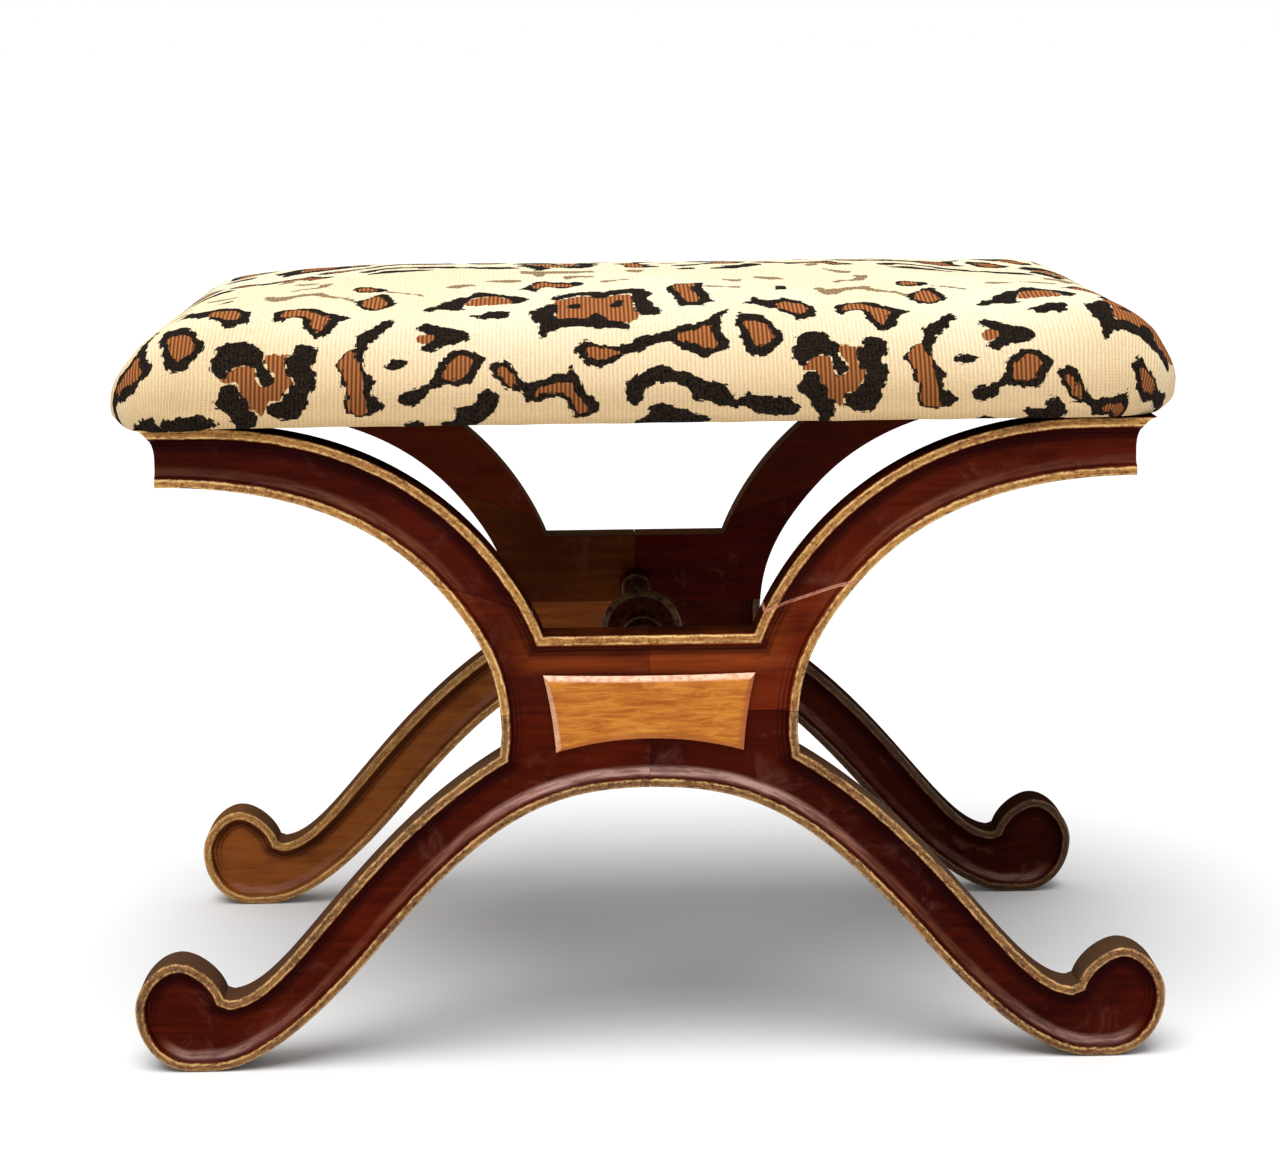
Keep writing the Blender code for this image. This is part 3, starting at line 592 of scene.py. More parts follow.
def polished_frame(name, grain_turn, shades, shift, shine, hollow_highlight, crack=None):
    """Dark polished wood with a gilt bead. The moulding's map gives the distance in from the edge: side,
    bead, dark quirk, hollow and field. Where the hollow faces up it takes a pale band of painted highlight,
    by the first share of shine at the middle of the bench and the second at its ends; where it faces down,
    and in the quirk and on two lines, it takes painted shade, more on the edges that face down. The polish
    is rubbed to warm wood on the middle of the rail. Gilding is rubbed through by noise that runs along the
    bead, and either rim of the bead takes a paler gold as painted highlight. The side walls take the side
    colour, and the plain back faces are darkened as painted shade."""
    field, field_light, bead, bead_worn, rim, side = shades
    m = Finish(name)
    inset, up = m.edge_inset(), m.lean()[0]
    x, _, z = m.split(m.place())
    across = m.maths("ABSOLUTE", x)
    wavy = m.plus(inset, m.times(m.less(m.noise(m.place(), 210, 2), 0.5), 1.5))
    edge_run = m.place(m.uv_map("moulding"), scale=(1, 7, 1), shift=shift)
    plain = m.fall(inset, -60.0, -50.0)
    moulded = m.less(1.0, plain)

    wood, streaks, clouds = figured_wood(m, grain_turn, shift, field, field_light)
    dragged = m.noise(edge_run, 46, 4, 0.68)
    # Painted highlight: a pale band in the hollow where it faces up, streaked along the edge and shared out
    # along the bench
    lit = m.times(m.band(inset, LIT_HOLLOW), m.step(up, 0.4, 1.0),
                  m.step(dragged, 0.62, 0.4, 0.4, 1.0), m.step(across, 0.11, 0.25, *shine))
    wood = m.mix(lit, wood, m.mix(m.step(up, 0.6, 0.98), srgb(152, 82, 52), hollow_highlight))
    rail = m.times(m.step(z, 0.256, 0.266), m.fall(across, 0.06, 0.1), moulded,
                   m.step(x, -0.002, 0.002, 0.4, 0.62), m.step(streaks, 0.3, 0.6, 0.5, 1.0))
    wood = m.mix(rail, wood, srgb(158, 72, 28))
    # Painted shade in the hollow where it faces down
    hollow_shade = m.times(m.band(inset, SHADED_HOLLOW), m.step(up, 0.1, -0.8, 0.0, 0.75))
    wood = m.mix(hollow_shade, wood, srgb(26, 1, 3))
    # Painted shade in the quirk, and on a line in the hollow and at the field's lip, stronger where the edge
    # faces down
    quirk = m.times(m.band(inset, QUIRK), m.step(up, 0.3, 0.9, 1.0, 0.4))
    line = m.most(m.band(wavy, DARK_LINE), m.times(m.band(inset, FIELD_LIP), 0.6))
    line = m.times(line, m.step(up, 0.5, 0.0, 0.1, 0.6))
    wood = m.mix(m.most(m.times(quirk, 0.62), line), wood, srgb(30, 1, 3))

    patches = m.noise(edge_run, 15, 3, 0.6)
    grit = m.less(m.noise(m.place(shift=shift), 520, 3, 0.6), 0.5)
    rub = m.noise(edge_run, 92, 5, 0.7, 0.5)
    rubbed = m.plus(m.times(rub, 0.75), m.times(patches, 0.3), m.times(grit, 0.55))
    gilding = m.band(wavy, GILDING)
    gold = m.mix(m.step(rubbed, 0.38, 0.66), bead, bead_worn)
    # Painted highlight: a paler gold on either rim of the bead, where the rubbing leaves it
    rim_highlights = m.most(m.band(wavy, OUTER_RIM), m.band(wavy, INNER_RIM))
    gold = m.mix(m.times(rim_highlights, m.step(rubbed, 0.62, 0.42, 0.12, 0.85)), gold, rim)
    hold = m.times(gilding, m.step(rubbed, 0.72, 0.58, 0.25, 1.0))
    colour = m.mix(hold, wood, gold)

    # The side walls take the side colour; black there is painted shade
    wall = m.times(m.fall(inset, -0.9, -0.3), moulded)
    colour = m.mix(m.times(wall, m.step(clouds, 0.3, 0.7, 0.9, 0.6)), colour, side)
    if crack:
        colour = m.mix(crack_share(m, x, z, crack, grit, patches), colour, srgb(206, 138, 112))
    # Painted shade: the plain back faces, which look in between the frames under the seat, darkened by a
    # quarter
    colour = m.mix(m.times(plain, 0.25), colour, srgb(20, 6, 3))
    gloss = m.times(m.plus(m.times(lit, 0.16), m.times(gilding, 0.18)), m.less(1.0, quirk))
    gloss = m.times(m.plus(gloss, 0.018), m.less(1.0, wall))
    surface = m.bump(m.noise(m.place(), 48, 2), 0.0009, 0.3)
    return m.finish(Base_Color=colour, Roughness=m.step(hold, 0.0, 1.0, 0.26, 0.4), Specular_IOR_Level=gloss,
                    Metallic=m.times(hold, 0.15), Normal=m.bump(rubbed, 0.0004, 0.5, surface))


def plain_wood(name, dark, light, roughness, grain_scale=(1, 1, 14), specular=0.12):
    """Wood with long streaks and short pores along one direction."""
    m = Finish(name, Specular_IOR_Level=specular)
    grain = m.place(scale=grain_scale)
    streaks, pores = m.noise(grain, 30, 5, 0.62, 0.5), m.noise(grain, 160, 2, 0.5)
    colour = m.mix(m.step(streaks, 0.35, 0.68), dark, light)
    pore_colour = (*(0.45 * part for part in dark[:3]), 1)
    colour = m.mix(m.step(pores, 0.6, 0.75, 0.0, 0.4), colour, pore_colour)
    rough = m.step(streaks, 0.3, 0.7, roughness - 0.05, roughness + 0.08)
    return m.finish(Base_Color=colour, Roughness=rough, Normal=m.bump(pores, 0.0002, 0.4))


def gilt_panel():
    """Ochre gilding brushed along the panel, with a painted highlight on the bevels that face up and left,
    and painted shade on those that face down and right and along the plumb side.
    """
    m = Finish("gilt_panel", Specular_IOR_Level=0.2)
    inset = m.edge_inset()
    up, across = m.lean()
    brushed = m.noise(m.place(scale=(1, 1, 7)), 38, 6, 0.7, 0.8)
    patches = m.noise(m.place(scale=(1, 1, 2.5)), 24, 4, 0.6)
    grit = m.noise(m.place(scale=(1, 1, 2)), 260, 3, 0.6)
    colour = m.mix(m.step(brushed, 0.32, 0.68), srgb(206, 130, 42), srgb(158, 80, 14))
    colour = m.mix(m.step(patches, 0.54, 0.78, 0.0, 0.65), colour, srgb(226, 158, 68))
    colour = m.mix(m.step(grit, 0.55, 0.75, 0.0, 0.25), colour, srgb(140, 80, 24))
    bevel = m.band(inset, TABLET_BEVEL)
    # Painted shade on the bevels that face down and right, and a painted highlight on those that face up and
    # left
    shaded_bevel = m.times(bevel, m.most(m.step(up, 0.5, 0.9, 0, 0.35), m.step(across, -0.4, -0.9, 0, 0.6)), 0.9)
    light = m.times(bevel, m.most(m.step(up, -0.5, -0.9), m.step(across, 0.4, 0.9, 0, 0.5)), 0.9)
    top = m.mix(m.step(grit, 0.4, 0.66), srgb(250, 212, 184), srgb(226, 164, 128))
    colour = m.mix(shaded_bevel, colour, srgb(178, 86, 62))
    colour = m.mix(light, colour, top)
    # Painted shade along the tablet's plumb side
    colour = m.mix(m.fall(inset, -0.5, 0.1), colour, srgb(60, 16, 8))
    return m.finish(Base_Color=colour, Roughness=m.step(brushed, 0.3, 0.7, 0.42, 0.6),
                    Normal=m.bump(brushed, 0.0005, 0.4))


# Turned stretcher

def turned_profile():
    """Run from the middle and radius of the stretcher's right half. Its points are shares of half its length
    and of the ring's radius; a fine line through them, smoothed, makes its round members."""
    points = [(0, 1), (0.013, 0.97), (0.024, 0.87), (0.029, 0.68), (0.034, 0.5), (0.055, 0.4), (0.09, 0.371),
              (0.125, 0.4), (0.14, 0.43), (0.148, 0.5), (0.166, 0.53), (0.184, 0.5), (0.192, 0.42),
              (0.21, 0.395), (0.28, 0.46), (0.37, 0.495), (0.46, 0.46), (0.62, 0.37), (0.8, 0.3),
              (0.858, 0.3), (0.866, 0.37), (0.882, 0.4), (0.898, 0.37), (0.906, 0.31), (0.94, 0.34),
              (0.965, 0.425), (1, 0.425)]
    points = np.array(points) * (STRETCHER_HALF_LENGTH, STRETCHER_RADIUS)
    knots = run_along(points)
    at = np.unique(np.concatenate([knots, np.linspace(0, knots[-1], 150)]))
    return smoothed(resampled(points, at), 2).T


def add_stretcher(material):
    """A solid of revolution about a line along Y. Round the line, x is the radius times the cosine of the
    angle, and z is the line's height and the radius times its sine."""
    run, radius = turned_profile()
    run, radius = np.r_[-run[::-1], run[1:]], np.r_[radius[::-1], radius[1:]]
    angle = np.linspace(0, 2 * math.pi, 56, endpoint=False)
    x = radius[:, None] * np.cos(angle)
    z = STRETCHER_HEIGHT + radius[:, None] * np.sin(angle)
    vertices = np.stack([x, np.broadcast_to(run[:, None], x.shape), z], -1)
    mesh = turn_faces_out(new_mesh("turned_stretcher", vertices, capped_quads(*x.shape)))
    new_piece("turned_stretcher", mesh, material, ("stretcher",))


def turned_finish():
    """Dark polish with gilding on the middle ring's rim and on the small rings beside it; the gold is
    darkened as painted shade under the seat.
    """
    m = Finish("turned_stretcher", Specular_IOR_Level=0.06)
    x, y, z = m.split(m.place())
    away = m.times(m.maths("ABSOLUTE", y), TO_MM)
    up = m.less(z, STRETCHER_HEIGHT)
    radius = m.times(m.maths("SQRT", m.plus(m.times(up, up), m.times(x, x))), TO_MM)
    rub = m.noise(m.place(), 140, 4, 0.65)
    rim = m.times(m.step(radius, *MIDDLE_RING), m.fall(away, 4.6, 5.5))
    rings = m.most(m.band(away, INNER_RING), m.band(away, OUTER_RING))
    gilt = m.times(m.most(rim, rings), m.step(rub, 0.72, 0.55, 0.2, 1.0))
    # The gold is darkened as painted shade under the seat
    gold = m.mix(m.step(rub, 0.42, 0.62), srgb(88, 64, 34), srgb(46, 29, 15))
    streaks = m.noise(m.place(scale=(14, 1, 14)), 18, 4)
    wood = m.mix(m.step(streaks, 0.4, 0.7), srgb(34, 8, 4), srgb(66, 20, 7))
    return m.finish(Base_Color=m.mix(gilt, wood, gold), Roughness=m.step(gilt, 0, 1, 0.22, 0.42))


# Tablets and side rails

def tablet_outline(inset=0.0):
    """A trapeze with slightly hollow sides and head, its foot an arc that follows the arch, set in all
    round by the inset."""
    top = RAIL_HEIGHT - BEAD_WIDTH - COVE_WIDTH - 12.5 * MM - inset
    crown = ARCH_HEIGHT + BEAD_WIDTH + COVE_WIDTH + 19.1 * MM + inset
    half_width, taper, rise, hollow = 67.5 * MM - inset, 7.5 * MM, 8.5 * MM, 1.1 * MM
    across = np.linspace(-1, 1, 41)
    foot = np.stack([(half_width - taper) * across, crown - rise * across ** 2], -1)
    up = np.linspace(0, 1, 17)[1:-1]
    side_x = half_width - taper * (1 - up) - hollow * 4 * up * (1 - up)
    side_z = foot[-1, 1] + (top - foot[-1, 1]) * up
    head = np.stack([-half_width * across, top - hollow * (1 - across ** 2)], -1)
    right = np.stack([side_x, side_z], -1)
    left = np.stack([-side_x, side_z], -1)[::-1]
    return np.concatenate([foot, right, head, left])


def add_tablets(material):
    """A raised panel: a plumb side, an eased arris, a hollow bevel and a flat face."""
    base = FIELD_FACE - 0.3 * MM
    face = base - 5.5 * MM
    levels = [(7 * MM, face), (5.6 * MM, face), (4.7 * MM, face)]
    levels += [(4.5 * MM - 4.1 * MM * s, face + (0.15 + 2.6 * s ** 1.25) * MM) for s in np.linspace(0, 1, 8)]
    levels += [(0.12 * MM, face + 2.95 * MM), (0, face + 3.3 * MM)]
    worked = [(inset, y, EDGE_MARK + inset, EDGE_MARK + inset) for inset, y in levels]
    worked.append((0, base, EDGE_MARK - 2 * MM, EDGE_MARK - 2 * MM))
    rings = np.array([tablet_outline(level[0]) for level in worked])
    front = turn_faces_out(moulded_slab("gilt_tablet", tablet_outline(), worked, rings))
    new_piece("gilt_tablet_front", front, material, ("front_tablet",))
    new_piece("gilt_tablet_back", half_turned(front), material, ("back_tablet",))


def add_side_rails(material):
    """The end profile carried along Y between the frames."""
    inside, base = ARM_END - SIDE_RAIL_THICKNESS, ARM_FOOT[1]
    arris = 0.8 * MM
    foot = [(inside, FRAME_HEIGHT), (inside, base + arris), (inside + arris, base), (ARM_END - arris, base),
            (ARM_END, base + arris)]
    half_length = -FRAME_INSIDE - 0.3 * MM
    right = prism("end_rail", [*foot, *end_profile(base)[1:]], -half_length, half_length)
    new_piece("end_rail_right", right, material, ("side_rail_right",))
    new_piece("end_rail_left", half_turned(right), material, ("side_rail_left",))


# Lining

def lining_mesh(base, half, thickness):
    """A thin sheet with small puckers that sinks a little in its middle, by a product of two squares."""
    x, y = np.meshgrid(np.linspace(-1, 1, 85), np.linspace(-1, 1, 55), indexing="ij")
    sag = 1.6 * MM * np.clip(1 - (x / 0.86) ** 2, 0, 1) ** 2 * np.clip(1 - (y / 0.72) ** 2, 0, 1) ** 2
    ripple = np.sin(x * half[0] * 150) * np.sin(y * half[1] * 150)
    pucker = 0.05 * MM * ripple * (1 - np.maximum(x * x, y * y))
    under = np.stack([x * half[0], y * half[1], base - sag - np.abs(pucker)], -1)
    over = np.stack([x * half[0], y * half[1], base + 0.6 * thickness - sag * 0.98], -1)
    faces, rim = grid_quads(*x.shape, False), grid_rim(*x.shape)
    after = np.roll(rim, -1)
    sides = np.stack([rim, after, after + x.size, rim + x.size], -1)
    return new_mesh("lining", np.stack([under, over]), [*faces, *(faces[:, ::-1] + x.size), *sides])


def staple_mesh(base, half):
    """Small bars of wire round the lining, in from its edge, each along the edge that it holds."""
    inset, half_crown, half_wire = 7 * MM, 5 * MM, 0.6 * MM
    spots = []
    for way in (-1, 1):
        spots += [(way * (half[0] - inset), y, 0) for y in np.linspace(-0.88, 0.88, 10) * half[1]]
        spots += [(x, way * (half[1] - inset), 1) for x in np.linspace(-0.92, 0.92, 17) * half[0]]
    spots = np.array(spots)
    corner = np.array([(a, b, c) for a in (-1, 1) for b in (-1, 1) for c in (0, 1)])
    wide = np.where(spots[:, 2:] > 0, (half_crown, half_wire), (half_wire, half_crown))
    points = np.empty((len(spots), 8, 3))
    points[..., :2] = spots[:, None, :2] + corner[None, :, :2] * wide[:, None]
    points[..., 2] = base + 0.1 * MM - 0.24 * MM * corner[:, 2]
    box = np.array([(0, 1, 3, 2), (4, 6, 7, 5), (0, 4, 5, 1), (2, 3, 7, 6), (0, 2, 6, 4), (1, 5, 7, 3)])
    return new_mesh("staples", points, (box[None] + 8 * np.arange(len(spots))[:, None, None]).reshape(-1, 4))


def add_lining(cloth, steel):
    """The black lining, stretched over the hem under the board, with staples round it."""
    low, high = (np.array(corner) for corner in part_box("dust_cover"))
    half = (high - low)[:2] / 2
    mesh = turn_faces_out(lining_mesh(low[2], half, high[2] - low[2]))
    lining = new_piece("lining", mesh, cloth, ("dust_cover",))
    new_piece("staples", turn_faces_out(staple_mesh(low[2], half)), steel, ())


# Camera, light and floor

# The photograph's viewpoint, in metres and radians, and its size in pixels
CAMERA_PLACE = (-0.0491, -2.063, 0.6695)
CAMERA_TURN = (0.0235, 0.1859, -0.01)
PHOTO_WIDTH = 1280
FOCAL_PIXELS = 3000
SENSOR_WIDTH = 36
FLOOR_REACH = 60
FLOOR_DROP = 0.4 * MM


def add_camera():
    """The photograph's viewpoint: a yaw to the right, a pitch down and a roll about the view."""
    yaw, pitch, roll = CAMERA_TURN
    ahead = Vector((math.sin(yaw) * math.cos(pitch), math.cos(yaw) * math.cos(pitch), -math.sin(pitch)))
    right = Vector((math.cos(yaw), -math.sin(yaw), 0))
    up = right.cross(ahead)
    turned_right = right * math.cos(roll) + up * math.sin(roll)
    turned_up = up * math.cos(roll) - right * math.sin(roll)
    camera = shown("camera", bpy.data.cameras.new("camera"))
    camera.data.sensor_width = SENSOR_WIDTH
    camera.data.lens = SENSOR_WIDTH * FOCAL_PIXELS / PHOTO_WIDTH
    camera.data.clip_start, camera.data.clip_end = 0.05, 200
    turn = Matrix((turned_right, turned_up, -ahead)).transposed().to_4x4()
    camera.matrix_world = Matrix.Translation(CAMERA_PLACE) @ turn
    bpy.context.scene.camera = camera


def add_sun(name, towards, strength, angle):
    """A light from far away, from the side that towards points to."""
    light = bpy.data.lights.new(name, "SUN")
    light.energy = strength
    light.angle = math.radians(angle)
    shown(name, light).rotation_euler = Vector(towards).to_track_quat("Z", "Y").to_euler()


def add_floor():
    signs = ((-1, -1), (1, -1), (1, 1), (-1, 1))
    corners = [(x * FLOOR_REACH, y * FLOOR_REACH, -FLOOR_DROP) for x, y in signs]
    mesh = new_mesh("floor", corners, [(0, 1, 2, 3)])
    m = Finish("floor", Roughness=0.9, Specular_IOR_Level=0.1)
    mesh.materials.append(m.finish(Base_Color=(0.87, 0.87, 0.87, 1)))
    floor = shown("floor", mesh)


def add_world():
    """White near the horizon, softer overhead, where the key light takes over."""
    world = bpy.data.worlds.new("studio")
    world.use_nodes = True
    nodes, links = world.node_tree.nodes, world.node_tree.links
    split, strength = nodes.new("ShaderNodeSeparateXYZ"), nodes.new("ShaderNodeMapRange")
    links.new(nodes.new("ShaderNodeTexCoord").outputs["Generated"], split.inputs[0])
    links.new(split.outputs[2], strength.inputs[0])
    for socket, value in zip(list(strength.inputs)[1:5], (0.03, 0.14, 1.0, 0.5)):
        socket.default_value = value
    background = nodes["Background"]
    background.inputs["Color"].default_value = (1, 1, 1, 1)
    links.new(strength.outputs[0], background.inputs["Strength"])
    bpy.context.scene.world = world


# Seat

# In from the widest outline, and height, from the hem up to the crown, in mm
SEAT_SECTION = ((8, 420.9), (4.5, 423.4), (1.9, 429), (0.4, 437), (0, 444.4), (1.6, 450), (5.5, 456),
                (11, 463.9), (22, 473.6), (40, 481), (75, 488.6), (100, 493.3), (130, 497.7), (160, 500.7),
                (190, 502.3), (213, 502.8))
SEAT_RINGS = 58
RIDGE_CELLS = 54
START_DRAW = 1.6 * MM
MOST_SWELL = 3.2 * MM
SWELL_FRAMES = 18
SEAT_CLOTH = {"quality": 6, "mass": 0.25, "tension_stiffness": 18, "compression_stiffness": 18,
              "shear_stiffness": 8, "bending_stiffness": 1.2, "use_pressure": True,
              "uniform_pressure_force": 4, "vertex_group_mass": "held"}
HEM_TURN = 22 * MM
HEM_RINGS = 4
LAID_REACH = 260 * MM

# What use did to the shape, in mm
FULL_CORNER = (-316, -196)
RIGHT_FULL, LEFT_FULL = 9.0, 3.5
LOWER_FACE_TOP, LOWER_FACE_HEIGHT = 446, 22
BELLY_HEIGHT = 437

# The figure on the cloth laid flat, in mm: the corners of its shapes, along the bench and up from the hem,
# with the crown at nought. Each repeat lies 355 across, and half of that across and 233 up.
REPEAT = 355.0
RISE = 233.0
NEAR = 7.0

